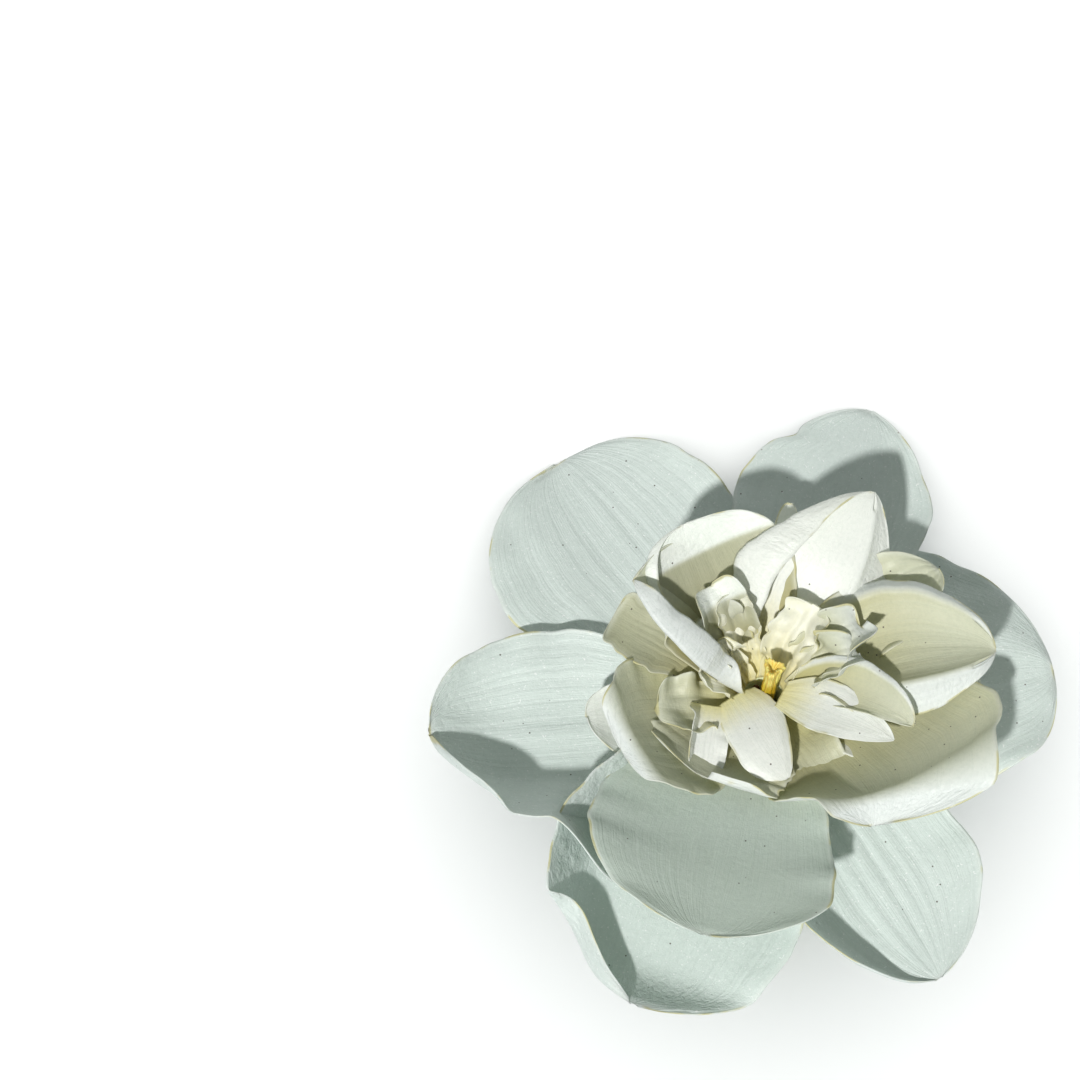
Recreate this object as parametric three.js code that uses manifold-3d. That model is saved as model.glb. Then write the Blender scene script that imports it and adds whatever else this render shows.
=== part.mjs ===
// Double white daffodil, picked with a short piece of stem and laid on a table.
// Millimetres, +Z up. The bloom is built upright on its own axis and then tipped to the way it lies:
// on the tips of two back petals and on the stem, with its face leaning towards +Y.

import * as THREE from "three";
import { mergeVertices } from "three/addons/utils/BufferGeometryUtils.js";
import Module from "manifold-3d";

const wasm = await Module();
wasm.setup();

const RADIANS = Math.PI / 180;

const FACE_LEAN = 17; // degrees
const HEIGHT_OF_HEART = 20.4; // the middle of the back petals above the table

const PETAL_THICKNESS = 0.6;
const CLEARANCE = 0.4; // kept between neighbouring pieces
const SMOOTHING = 0.1; // how far a finished petal's surface may move to save faces

const TEPAL_COLOUR = 0xdfe8e4;
const PETAL_COLOUR = 0xf1f1e4;
const CROWN_COLOUR = 0xf3eecb;
const TUBE_COLOUR = 0xd6dfae;
const STYLE_COLOUR = 0xe3bb36;
const STAMEN_COLOUR = 0x5a3a18;
const STEM_COLOUR = 0x86a05a;
const SPATHE_COLOUR = 0xb3976a;

// The perianth tube widens into a shallow ring that carries every petal. Radius and height.
const TUBE_BOTTOM = -11;
const TUBE_RIM = 6;
const TUBE_OUTSIDE = [
  [2.3, TUBE_BOTTOM],
  [2.6, -8],
  [3.6, -4],
  [4.9, -1.5],
  [5, 2],
  [4.4, TUBE_RIM],
];
const TUBE_HOLLOW = [
  [3.2, TUBE_RIM],
  [2.6, 2],
  [2.2, -6],
  [0, -6],
];

const STYLE_BOTTOM = -5.6;
const STYLE_TOP = 17;
const STYLE_PROFILE = [
  [0, STYLE_BOTTOM],
  [1.1, STYLE_BOTTOM],
  [1.2, 6],
  [1.5, 15],
  [1.3, STYLE_TOP],
  [0, STYLE_TOP],
];
const STIGMA_LOBES = 3;
const STIGMA_RADIUS = 1.5;
const STIGMA_SPREAD = 1.1;
const STYLE_TILT = [-3, 4, 0]; // degrees about X, Y and Z

const STAMEN_ANGLES = [124, 214, 304];
const STAMEN_RADIUS = 0.3;
const STAMEN_FROM_AXIS = 2;
const STAMEN_HEIGHT = 5;
const ANTHER = { radius: 0.55, halfLength: 1.5 };

// The ovary, its bent stalk and the cut stem are one piece: distance along it and radius.
const STEM_RADIUS = 3.2;
const BEND_RADIUS = 9;
const BEND_ANGLE = 90 - FACE_LEAN;
const STEM_PROFILE = [
  [0, 2.2],
  [2, 3],
  [5, 3.4],
  [8, 2.8],
  [10, 1.9],
  [15, 1.9],
  [17, 2.7],
  [20, 3.1],
  [24, STEM_RADIUS],
  [38, STEM_RADIUS],
];

// What a petal is like unless its own entry says otherwise. Angles are in degrees.
const PLAIN_PETAL = {
  azimuth: 0, // where it leaves the ring, anticlockwise from +X
  radius: 5.2, // how far from the axis it starts
  height: 2, // how high it starts
  turn: 0, // how far its heading differs from its azimuth at the foot
  swing: 0, // how far the heading turns on the way to the tip
  length: 30,
  width: [10, 10], // widest half width, on the anticlockwise and on the clockwise side
  foot: 0.4, // width at the foot, as a share of the widest
  widest: [0.6, 0.6], // where each side is widest, as a share of the length
  blunt: [2, 2], // 1.3 is pointed, 2 is round, 3 is square
  rise: [30, 10], // slope at the foot and at the tip
  curl: [0, 0.6, 1], // extra slope, and the shares of the length between which it is gained
  twist: [0, 0], // at the foot and at the tip, positive lifts the anticlockwise margin
  cup: [30, 30], // how far the margins have turned up, at the foot and at the tip
  roll: [[0, 0.5, 1], [0, 0.5, 1]], // for each side the extra turn of its margin, and from where to where
  rollGrows: [0, 0.3], // the shares of the length between which that turn develops
  ruffle: 0, // height of the waves along the margins
  waves: 2,
  rows: 8, // faces along the length and across
  columns: 8,
  colour: PETAL_COLOUR,
};
const TEPAL = { radius: 5.4, rows: 10, colour: TEPAL_COLOUR };
const CROWN = { rows: 7, columns: 6, colour: CROWN_COLOUR };
const NARROWEST = 0.06; // width at the very tip, as a share of the widest
const LEFT = 0; // the anticlockwise side, seen from above
const RIGHT = 1;

const PETALS = [
  // Back whorl: the outer three, then the inner three.
  { ...TEPAL, name: "outer_tepal_upper_left", azimuth: 126, height: -1.2, length: 57, width: [25, 20],
    blunt: [2.2, 2.2], rise: [0, -8.4], cup: [12, 10] },
  { ...TEPAL, name: "outer_tepal_right", azimuth: 9, height: -1.2, length: 44, width: [29, 18.5],
    widest: [0.45, 0.62], blunt: [1.9, 2.2], rise: [4, 0], cup: [10, 10],
    roll: [[-22, 0.1, 0.5], [0, 0.5, 1]] },
  { ...TEPAL, name: "outer_tepal_lower_left", azimuth: 248.5, height: -1.2, length: 53, width: [20, 31],
    widest: [0.6, 0.55], blunt: [2, 2.1], rise: [2, 0], curl: [45, 0.76, 0.94], cup: [12, 10],
    roll: [[0, 0.5, 1], [62, 0.35, 0.65]] },
  { ...TEPAL, name: "inner_tepal_left", azimuth: 187, height: 0, length: 52, width: [31.5, 18],
    widest: [0.55, 0.62], blunt: [2, 2.1], rise: [4, 0], curl: [28, 0.68, 0.95], cup: [12, 12],
    roll: [[48, 0.2, 0.4], [0, 0.5, 1]], rollGrows: [0.36, 0.62] },
  { ...TEPAL, name: "inner_tepal_top", azimuth: 72, height: 0, length: 57, width: [17.5, 17],
    widest: [0.64, 0.64], blunt: [1.5, 1.5], rise: [0, -5.8], cup: [14, 12] },
  { ...TEPAL, name: "inner_tepal_lower_right", azimuth: 301, height: 0, length: 49, width: [17, 20],
    widest: [0.64, 0.64], blunt: [1.7, 1.7], rise: [4, 0], cup: [12, 12],
    roll: [[0, 0.5, 1], [60, 0.45, 0.75]] },
  // Middle ring, from the outside inwards.
  { name: "lower_centre_petal", azimuth: 259, length: 45.5, width: [18, 23.5], foot: 0.4,
    widest: [0.75, 0.5], blunt: [2.3, 2], rise: [16, 33], cup: [14, 16] },
  { name: "left_cup_petal", azimuth: 209, height: 3, length: 25.5, width: [13, 15], blunt: [2, 2],
    rise: [10, 62], curl: [-95, 0.86, 0.95], cup: [30, 20], rows: 10 },
  { name: "lower_left_cup_petal", azimuth: 241, height: 4, length: 16, width: [12, 13], foot: 0.5,
    blunt: [3, 3], rise: [15, 45], cup: [20, 20], ruffle: 0.3 },
  { name: "lower_cup_petal", azimuth: 320, height: 4, swing: -40, length: 31, width: [27, 13.5],
    foot: 0.5, widest: [0.65, 0.5], blunt: [2.2, 1.6], rise: [0, 68], curl: [-92, 0.82, 0.9],
    cup: [12, 28], rows: 10 },
  { name: "right_cup_petal", azimuth: 352, height: 3, length: 32, width: [12, 11], widest: [0.65, 0.65],
    blunt: [2.6, 2.6], rise: [8, 18] },
  { name: "right_boat_petal", azimuth: 14, radius: 5, height: 5.5, swing: -20, length: 35.5,
    width: [15, 13], foot: 0.2, widest: [0.5, 0.62], blunt: [1.6, 1.8], rise: [30, 12], twist: [-6, -12],
    cup: [85, 70], roll: [[-95, 0.76, 0.86], [-105, 0.5, 0.6]], rollGrows: [0.2, 0.5], columns: 12 },
  { name: "ruffled_right_petal", azimuth: 34, height: 4, length: 31.8, width: [9, 8], blunt: [2, 2.4],
    rise: [22, 15], cup: [40, 40], ruffle: 1, waves: 2.5 },
  { name: "tall_hooded_petal", azimuth: 45, radius: 5, height: 6, turn: -10, swing: 50, length: 36,
    width: [26.5, 8.5], foot: 0.68, widest: [0.42, 0.45], blunt: [1.6, 1.7], rise: [42, 8],
    cup: [50, 30], roll: [[105, 0.68, 0.74], [-75, 0.05, 0.16]], rollGrows: [0, 0.02], columns: 12 },
  { name: "upper_cup_petal", azimuth: 118, height: 5, length: 28.5, width: [14, 15], widest: [0.6, 0.6],
    blunt: [2.6, 2.6], rise: [33, 44], cup: [60, 20], roll: [[105, 0.78, 0.85], [0, 0.5, 1]],
    rollGrows: [0.4, 0.6], rows: 10 },
  { name: "upper_left_cup_petal", azimuth: 143, radius: 5, height: 6, turn: 5, length: 26.5,
    width: [13.5, 13], foot: 0.4, widest: [0.5, 0.6], blunt: [1.9, 3], rise: [40, 40], twist: [30, 30],
    cup: [60, 60], roll: [[100, 0.6, 0.66], [0, 0.5, 1]], columns: 12 },
  { name: "torn_left_petal", azimuth: 154, height: 4, length: 24, width: [6, 5.5], foot: 0.6,
    widest: [0.88, 0.88], blunt: [5, 5], rise: [25, 12], cup: [10, 40] },
  { name: "small_curled_petal", azimuth: 82, height: 3, length: 29.8, width: [3, 3], foot: 0.5,
    widest: [0.7, 0.7], blunt: [2.6, 2.6], rise: [15, 20], cup: [80, 80], columns: 4 },
  { name: "left_outer_strip", azimuth: 190, length: 25.8, width: [8, 6], blunt: [2.4, 2.4],
    rise: [15, 20], cup: [20, 20], ruffle: 0.6, columns: 6 },
  { name: "curled_strip", azimuth: 206, length: 22.8, width: [2.5, 2.5], foot: 0.5, widest: [0.7, 0.7],
    blunt: [2.6, 2.6], rise: [10, 5], cup: [90, 90], columns: 4 },
  { name: "front_lit_petal", azimuth: 192, radius: 4.6, height: 9, turn: 109, length: 17.5,
    width: [5, 5.8], foot: 0.7, widest: [0.35, 0.6], blunt: [1.4, 2.1], rise: [26, -22], cup: [-10, -10],
    columns: 6 },
  { name: "right_leaf_petal", azimuth: 333, radius: 3.4, height: 10.6, length: 21, width: [5.2, 4.5],
    foot: 0.5, widest: [0.4, 0.45], blunt: [1.4, 1.4], rise: [30, -10], cup: [14, 14], columns: 6 },
  { name: "right_rolled_petal", azimuth: 350, radius: 4.4, height: 8, turn: -4, swing: -17, length: 23.5,
    width: [8, 2.2], widest: [0.45, 0.5], blunt: [1.7, 1.7], rise: [38, 4], twist: [6, 6], cup: [85, 60],
    roll: [[-75, 0.82, 0.93], [0, 0.5, 1]] },
  { name: "folded_left_petal", azimuth: 200, radius: 8.5, height: 9, turn: 62, length: 12,
    width: [3.2, 5], foot: 0.8, blunt: [4, 3], rise: [15, -25], cup: [10, 10],
    roll: [[0, 0.5, 1], [75, 0.35, 0.6]], ruffle: 0.2, rows: 7, columns: 6 },
  // Crown pieces.
  { ...CROWN, name: "left_frill", azimuth: 190, radius: 5, height: 5, length: 14, width: [7, 5],
    blunt: [2.8, 2.8], rise: [26, 22], cup: [40, 50], ruffle: 1, waves: 2.5 },
  { ...CROWN, name: "small_crown_lobe", azimuth: 172, radius: 4.5, height: 6.5, length: 9,
    width: [3.5, 3.5], foot: 0.5, blunt: [2.8, 2.8], rise: [70, 20], cup: [50, 80], ruffle: 0.5 },
  { ...CROWN, name: "bowl_lobe_back", azimuth: 120, radius: 5, height: 6, length: 18, width: [6, 5.5],
    foot: 0.3, widest: [0.75, 0.75], blunt: [3, 3], rise: [50, 58], curl: [-50, 0.7, 1], cup: [60, 70],
    ruffle: 1, waves: 2.5 },
  { ...CROWN, name: "bowl_lobe_left", azimuth: 134, radius: 5, height: 6, length: 13.5, width: [7, 6],
    widest: [0.75, 0.75], blunt: [3, 3], rise: [55, 35], curl: [-50, 0.7, 1], cup: [40, 50], ruffle: 1,
    waves: 3 },
  { ...CROWN, name: "crown_frill", azimuth: 112, radius: 3.5, height: 6.5, length: 16, width: [4.5, 4],
    foot: 0.6, widest: [0.8, 0.8], blunt: [4, 4], rise: [48, 38], cup: [70, 80], ruffle: 1, waves: 3 },
  { ...CROWN, name: "crown_frill_inner", azimuth: 140, radius: 3.5, height: 6.5, length: 10.5,
    width: [3, 3], foot: 0.6, widest: [0.8, 0.8], blunt: [4, 4], rise: [60, 45], cup: [60, 90],
    ruffle: 1, waves: 3 },
  { ...CROWN, name: "inner_lit_petal", azimuth: 54, radius: 3.5, height: 6.5, length: 16, width: [5, 5],
    foot: 0.6, widest: [0.75, 0.75], blunt: [3.4, 3.4], rise: [60, 34], cup: [60, 50], ruffle: 1,
    waves: 3 },
  { ...CROWN, name: "right_frill_upper", azimuth: 27, radius: 5, height: 6, length: 17.5,
    width: [5.5, 6], widest: [0.78, 0.78], blunt: [3, 3], rise: [50, 38], curl: [-60, 0.8, 1],
    cup: [60, 70], ruffle: 1, waves: 2.5 },
  { ...CROWN, name: "right_frill_lower", azimuth: 13, radius: 5, height: 6.5, length: 15.5,
    width: [5, 4.5], widest: [0.75, 0.75], blunt: [3, 3], rise: [56, 38], curl: [-60, 0.8, 1],
    cup: [60, 70], ruffle: 1, waves: 2.5 },
  { ...CROWN, name: "lower_frill", azimuth: 300, radius: 4.5, height: 5, length: 16, width: [7, 6],
    blunt: [2.6, 2.6], rise: [5, 10], cup: [20, 20], ruffle: 0.6 },
];

// Papery bract that stands at the top of the stem, under the bloom.
const SPATHE = {
  ...PLAIN_PETAL, azimuth: 285, radius: 18.3, height: 3.2, turn: 146, length: 20, width: [4.5, 4.5],
  foot: 0.5, widest: [0.45, 0.45], blunt: [1.5, 1.5], rise: [-8, -2], cup: [60, 40],
};

function smooth(t) {
  const inside = Math.min(Math.max(t, 0), 1);
  return inside * inside * (3 - 2 * inside);
}

function mix([start, end], share) {
  return start + (end - start) * share;
}

// How far the way from start to end has been gone at t, from 0 to 1.
function gained(t, start, end) {
  return smooth((t - start) / (end - start));
}

// Half width at u, from 0 at the foot to 1 at the tip.
function halfWidth(petal, u, side) {
  const width = petal.width[side];
  const widest = petal.widest[side];
  const blunt = petal.blunt[side];
  if (u < widest) {
    return width * (petal.foot + (1 - petal.foot) * Math.sin((Math.PI / 2) * (u / widest)));
  }
  const beyond = (u - widest) / (1 - widest);
  return width * Math.max((1 - beyond ** blunt) ** (1 / blunt), NARROWEST);
}

// The way the midrib runs at u, and the level direction across it.
function directions(petal, u) {
  const heading = (petal.azimuth + petal.turn + petal.swing * u) * RADIANS;
  const [curl, start, end] = petal.curl;
  const slope = (mix(petal.rise, u) + curl * gained(u, start, end)) * RADIANS;
  const along = new THREE.Vector3(
    Math.cos(slope) * Math.cos(heading),
    Math.cos(slope) * Math.sin(heading),
    Math.sin(slope),
  );
  const aside = new THREE.Vector3(-Math.sin(heading), Math.cos(heading), 0);
  return { along, aside };
}

// Points on the midrib, closer together towards the tip, each with its directions across and out of
// the petal's face.
function midrib(petal) {
  const stepsBetween = 8;
  const start = petal.azimuth * RADIANS;
  const place = new THREE.Vector3(
    petal.radius * Math.cos(start),
    petal.radius * Math.sin(start),
    petal.height,
  );
  const stations = [];
  let before = 0;
  for (let row = 0; row <= petal.rows; row += 1) {
    const u = Math.sin((Math.PI / 2) * (row / petal.rows));
    for (let step = 0.5; step < stepsBetween; step += 1) {
      const between = before + ((u - before) * step) / stepsBetween;
      place.addScaledVector(directions(petal, between).along, ((u - before) * petal.length) / stepsBetween);
    }
    before = u;
    const { along, aside } = directions(petal, u);
    const across = aside.clone().applyAxisAngle(along, mix(petal.twist, u) * RADIANS);
    stations.push({ u, place: place.clone(), across, face: along.clone().cross(across) });
  }
  return stations;
}

// Half of a cross-section, from the midrib outwards. It bends more and more on its way.
function halfSection(petal, station, side) {
  const stepsBetween = 6;
  const { u, place, across, face } = station;
  const [roll, start, end] = petal.roll[side];
  const rolled = roll * gained(u, ...petal.rollGrows);
  const towards = side === LEFT ? 1 : -1;
  const step = halfWidth(petal, u, side) / ((petal.columns / 2) * stepsBetween);
  const points = [];
  let sideways = 0;
  let upwards = 0;
  for (let column = 1; column <= petal.columns / 2; column += 1) {
    for (let part = 0.5; part < stepsBetween; part += 1) {
      const v = (column - 1 + part / stepsBetween) / (petal.columns / 2);
      const bend = (mix(petal.cup, u) * v + rolled * gained(v, start, end)) * RADIANS;
      sideways += step * Math.cos(bend);
      upwards += step * Math.sin(bend);
    }
    const toMargin = column / (petal.columns / 2);
    const wave = Math.sin(2 * Math.PI * petal.waves * u + towards);
    const lift = upwards + petal.ruffle * toMargin * smooth(2 * u) * wave;
    points.push(place.clone().addScaledVector(across, towards * sideways).addScaledVector(face, lift));
  }
  return points;
}

// A petal's surface without thickness, as rows of points from the right margin to the left one.
function sheet(petal) {
  return midrib(petal).map((station) => [
    ...halfSection(petal, station, RIGHT).reverse(),
    station.place,
    ...halfSection(petal, station, LEFT),
  ]);
}

function stepBeyond(inner, rim, distance) {
  const onward = rim.clone().sub(inner).setLength(distance);
  return rim.clone().add(onward);
}

// The same sheet with a strip added all round.
function widened(grid, distance) {
  const wide = grid.map((row) => [
    stepBeyond(row[1], row[0], distance),
    ...row,
    stepBeyond(row.at(-2), row.at(-1), distance),
  ]);
  const foot = wide[0].map((point, k) => stepBeyond(wide[1][k], point, distance));
  const tip = wide.at(-1).map((point, k) => stepBeyond(wide.at(-2)[k], point, distance));
  return [foot, ...wide, tip];
}

function facing(grid, row, column) {
  const beyond = grid[Math.min(row + 1, grid.length - 1)][column];
  const before = grid[Math.max(row - 1, 0)][column];
  const left = grid[row][Math.min(column + 1, grid[row].length - 1)];
  const right = grid[row][Math.max(column - 1, 0)];
  return beyond.clone().sub(before).cross(left.clone().sub(right)).normalize();
}

function indexed(points, faces) {
  const positions = points.flatMap((point) => point.toArray());
  const geometry = new THREE.BufferGeometry();
  geometry.setAttribute("position", new THREE.BufferAttribute(new Float32Array(positions), 3));
  geometry.setIndex(faces);
  return geometry;
}

// A closed thin body: the sheet moved half a thickness to each side, and a strip round the margin.
function thicken(grid, thickness) {
  const rows = grid.length;
  const columns = grid[0].length;
  const moved = (share) =>
    grid.flatMap((row, i) =>
      row.map((point, j) => point.clone().addScaledVector(facing(grid, i, j), share * thickness)),
    );
  const upper = (i, j) => i * columns + j;
  const lower = (i, j) => rows * columns + upper(i, j);
  const faces = [];
  const quad = (a, b, c, d) => faces.push(a, b, c, a, c, d);
  for (let i = 0; i + 1 < rows; i += 1) {
    for (let j = 0; j + 1 < columns; j += 1) {
      quad(upper(i, j), upper(i + 1, j), upper(i + 1, j + 1), upper(i, j + 1));
      quad(lower(i, j), lower(i, j + 1), lower(i + 1, j + 1), lower(i + 1, j));
    }
    const end = columns - 1;
    quad(upper(i, 0), lower(i, 0), lower(i + 1, 0), upper(i + 1, 0));
    quad(upper(i + 1, end), lower(i + 1, end), lower(i, end), upper(i, end));
  }
  for (let j = 0; j + 1 < columns; j += 1) {
    const end = rows - 1;
    quad(upper(0, j + 1), lower(0, j + 1), lower(0, j), upper(0, j));
    quad(upper(end, j), lower(end, j), lower(end, j + 1), upper(end, j + 1));
  }
  return indexed([...moved(0.5), ...moved(-0.5)], faces);
}

// A closed body through rings of points, with a flat face at each end.
function loft(rings) {
  const sides = rings[0].length;
  const last = (rings.length - 1) * sides;
  const faces = [];
  for (let ring = 0; ring < last; ring += sides) {
    for (let k = 0; k < sides; k += 1) {
      const next = (k + 1) % sides;
      faces.push(ring + k, ring + next, ring + sides + next);
      faces.push(ring + k, ring + sides + next, ring + sides + k);
    }
  }
  for (let k = 1; k + 1 < sides; k += 1) {
    faces.push(0, k + 1, k);
    faces.push(last, last + k, last + k + 1);
  }
  return indexed(rings.flat(), faces);
}

// A profile of [radius, height] points turned about Z.
function turned(profile, sides) {
  const points = profile.map(([radius, height]) => new THREE.Vector2(radius, height));
  return new THREE.LatheGeometry(points, sides).rotateX(Math.PI / 2);
}

// A closed body from a mesh geometry, for joining and cutting.
function solid(geometry) {
  const bare = new THREE.BufferGeometry();
  bare.setAttribute("position", geometry.getAttribute("position"));
  bare.setIndex(geometry.index);
  const merged = mergeVertices(bare, 1e-4);
  return new wasm.Manifold(
    new wasm.Mesh({
      numProp: 3,
      vertProperties: merged.getAttribute("position").array,
      triVerts: new Uint32Array(merged.index.array),
    }),
  );
}

function geometryOf(body) {
  const mesh = body.getMesh();
  const geometry = new THREE.BufferGeometry();
  geometry.setAttribute("position", new THREE.BufferAttribute(mesh.vertProperties, 3));
  geometry.setIndex(new THREE.BufferAttribute(mesh.triVerts, 1));
  return geometry;
}

function tubeBody() {
  return solid(turned([[0, TUBE_BOTTOM], ...TUBE_OUTSIDE, ...TUBE_HOLLOW], 24));
}

// The space the petals leave to the tube, its hollow included.
function roomAroundTube() {
  const outside = TUBE_OUTSIDE.map(([radius, height]) => [radius + CLEARANCE, height]);
  const [rimRadius] = outside.at(-1);
  const top = TUBE_RIM + CLEARANCE;
  return solid(turned([[0, TUBE_BOTTOM], ...outside, [rimRadius, top], [0, top]], 24));
}

// The style ends in a stigma of round lobes. It can be made thicker by a gap all round.
function styleBody(gap = 0) {
  const profile = STYLE_PROFILE.map(([radius, height]) => [radius && radius + gap, height]);
  const parts = [solid(turned(profile, 12))];
  for (let k = 0; k < STIGMA_LOBES; k += 1) {
    const angle = (2 * Math.PI * k) / STIGMA_LOBES;
    const lobe = new THREE.SphereGeometry(STIGMA_RADIUS + gap, 10, 7);
    lobe.translate(STIGMA_SPREAD * Math.cos(angle), STIGMA_SPREAD * Math.sin(angle), STYLE_TOP);
    parts.push(solid(lobe));
  }
  return wasm.Manifold.union(parts).rotate(STYLE_TILT);
}

// A thin thread with a dried anther on top. It can be made thicker too.
function stamenBody(degrees, gap = 0) {
  const radius = STAMEN_RADIUS + gap;
  const thread = new THREE.CylinderGeometry(radius, radius, STAMEN_HEIGHT, 8);
  thread.rotateX(Math.PI / 2).translate(0, 0, STAMEN_HEIGHT / 2);
  const anther = new THREE.SphereGeometry(1, 8, 6);
  anther.rotateX(Math.PI / 2).scale(ANTHER.radius + gap, ANTHER.radius + gap, ANTHER.halfLength + gap);
  anther.translate(0, 0, STAMEN_HEIGHT + ANTHER.halfLength / 2);
  const x = STAMEN_FROM_AXIS * Math.cos(degrees * RADIANS);
  const y = STAMEN_FROM_AXIS * Math.sin(degrees * RADIANS);
  return wasm.Manifold.union([solid(thread), solid(anther)]).translate([x, y, 0]);
}

// The stem leaves the tube straight down and bends forwards until it lies on the table.
function stemRing([distance, radius]) {
  const steep = BEND_ANGLE * RADIANS;
  const gap = CLEARANCE - TUBE_BOTTOM;
  const startY = -gap * Math.sin(FACE_LEAN * RADIANS);
  const startZ = HEIGHT_OF_HEART - gap * Math.cos(FACE_LEAN * RADIANS);
  const bent = Math.min(distance, BEND_RADIUS * steep);
  const slope = steep - bent / BEND_RADIUS;
  const y = startY - BEND_RADIUS * (Math.sin(steep) - Math.sin(slope)) - (distance - bent);
  const z = startZ - BEND_RADIUS * (Math.cos(slope) - Math.cos(steep));
  const ring = [];
  const sides = 16;
  for (let k = 0; k < sides; k += 1) {
    const angle = (2 * Math.PI * k) / sides;
    const aside = radius * Math.cos(angle);
    const outwards = radius * Math.sin(angle);
    ring.push(new THREE.Vector3(aside, y - outwards * Math.sin(slope), z + outwards * Math.cos(slope)));
  }
  return ring;
}

function stemBody() {
  return solid(loft(STEM_PROFILE.map(stemRing)));
}

function petalBody(petal) {
  return solid(thicken(sheet(petal), PETAL_THICKNESS));
}

// The space that a petal takes up with its gap all round, as a chain of small convex cells.
function roomAround(petal) {
  const grid = widened(sheet(petal), CLEARANCE);
  const reach = PETAL_THICKNESS / 2 + CLEARANCE;
  const cells = [];
  for (let i = 1; i < grid.length; i += 1) {
    for (let j = 1; j < grid[i].length; j += 1) {
      const corners = [[i - 1, j - 1], [i - 1, j], [i, j - 1], [i, j]];
      const points = corners.flatMap(([row, column]) =>
        [reach, -reach].map((height) =>
          grid[row][column].clone().addScaledVector(facing(grid, row, column), height).toArray(),
        ),
      );
      cells.push(wasm.Manifold.hull(points));
    }
  }
  return wasm.Manifold.union(cells);
}

// What is left of a petal where others run into it: the largest piece clear of them all.
function clearOf(body, others) {
  const rest = others.reduce((left, other) => left.subtract(other), body);
  const pieces = rest.simplify(SMOOTHING).decompose();
  return pieces.reduce((largest, piece) => (piece.volume() > largest.volume() ? piece : largest));
}

const bloom = new THREE.Group();
bloom.rotation.x = -FACE_LEAN * RADIANS;
bloom.position.z = HEIGHT_OF_HEART;

const daffodil = new THREE.Group();
daffodil.add(bloom);

function add(group, name, body, color) {
  const material = new THREE.MeshStandardMaterial({ color, roughness: 0.6, metalness: 0 });
  const mesh = new THREE.Mesh(geometryOf(body), material);
  mesh.name = name;
  group.add(mesh);
}

add(bloom, "perianth_tube", tubeBody(), TUBE_COLOUR);
add(bloom, "style_and_stigma", styleBody(), STYLE_COLOUR);
STAMEN_ANGLES.forEach((degrees, k) => add(bloom, `stamen_${k + 1}`, stamenBody(degrees), STAMEN_COLOUR));
add(daffodil, "ovary_and_stem", stemBody(), STEM_COLOUR);
add(daffodil, "spathe", petalBody(SPATHE), SPATHE_COLOUR);

// Petals nearer the middle of the bloom come last in the list and stay whole.
const taken = [roomAroundTube(), styleBody(CLEARANCE)];
taken.push(...STAMEN_ANGLES.map((degrees) => stamenBody(degrees, CLEARANCE)));
for (const own of [...PETALS].reverse()) {
  const petal = { ...PLAIN_PETAL, ...own };
  add(bloom, petal.name, clearOf(petalBody(petal), taken), petal.colour);
  taken.push(roomAround(petal));
}

// The frame's origin is on the table, under the middle of the flower's outline.
const extent = new THREE.Box3().setFromObject(daffodil, true);
const middle = extent.getCenter(new THREE.Vector3());
daffodil.position.set(-middle.x, -middle.y, -extent.min.z);

export default daffodil;
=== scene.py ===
# %% [markdown]
# # A double daffodil, laid on a table
#
# The flower was picked with a short piece of stem and laid down with its open face up. It rests on
# that stem and on the tips of two back petals, so its face leans away from the viewer. This lesson
# builds it as it grew: the broad back petals, the cupped middle ring, the crowded crown pieces, the
# style in the heart, and below them the tube, the stem and a papery sheath. The measuring model
# gives every piece its place. Sizes are in millimetres until a mesh is made of them.

# %% Load the frame
import math

import bpy
import numpy as np
from mathutils import Matrix, Vector


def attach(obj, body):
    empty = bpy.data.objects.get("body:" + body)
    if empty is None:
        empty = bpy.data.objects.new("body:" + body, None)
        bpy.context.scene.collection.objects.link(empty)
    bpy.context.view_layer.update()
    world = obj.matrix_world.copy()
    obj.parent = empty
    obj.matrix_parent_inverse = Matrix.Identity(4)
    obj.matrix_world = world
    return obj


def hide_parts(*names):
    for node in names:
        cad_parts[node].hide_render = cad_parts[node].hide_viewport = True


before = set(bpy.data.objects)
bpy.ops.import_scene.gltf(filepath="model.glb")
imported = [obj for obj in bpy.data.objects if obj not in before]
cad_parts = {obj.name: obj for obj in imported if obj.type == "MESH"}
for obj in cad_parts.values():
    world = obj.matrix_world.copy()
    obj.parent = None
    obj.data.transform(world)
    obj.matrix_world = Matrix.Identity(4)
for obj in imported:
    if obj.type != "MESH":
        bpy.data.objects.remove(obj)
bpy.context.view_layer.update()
print("pieces in the measuring model:", len(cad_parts))

# %% [markdown]
# ## Where the bloom sits
#
# Everything in the bloom is built upright on the bloom's own axis and then leaned back, as the
# measuring model does it. The tube under the petals is round about that axis. Its box, taken along
# the bloom's own directions, therefore tells where the axis runs and how high its rim lies.

# %% The bloom's axis and heart
MM = 0.001
FACE_LEAN = math.radians(17)
TUBE_RIM = 6  # mm above the heart

LEAN = Matrix.Rotation(-FACE_LEAN, 3, "X")


def heart_from_frame():
    upright = LEAN.inverted()
    points = [upright @ vertex.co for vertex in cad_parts["perianth_tube"].data.vertices]
    low = Vector(min(point[axis] for point in points) for axis in range(3))
    high = Vector(max(point[axis] for point in points) for axis in range(3))
    middle = (low + high) / 2
    return LEAN @ Vector((middle.x, middle.y, high.z - TUBE_RIM * MM))


HEART = heart_from_frame()
print("heart of the bloom, in mm:", [round(value / MM, 2) for value in HEART])

# %% [markdown]
# ## Camera
#
# The photograph looks almost straight down on the flower, through a long lens: 22 degrees off the
# bloom's axis, from the side that the stem points to. The flower fills the lower right of the
# frame. So the camera is first aimed at the heart, and then turned a little until the heart lies
# at its own place in the picture. No lens shift is needed for that.

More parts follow.
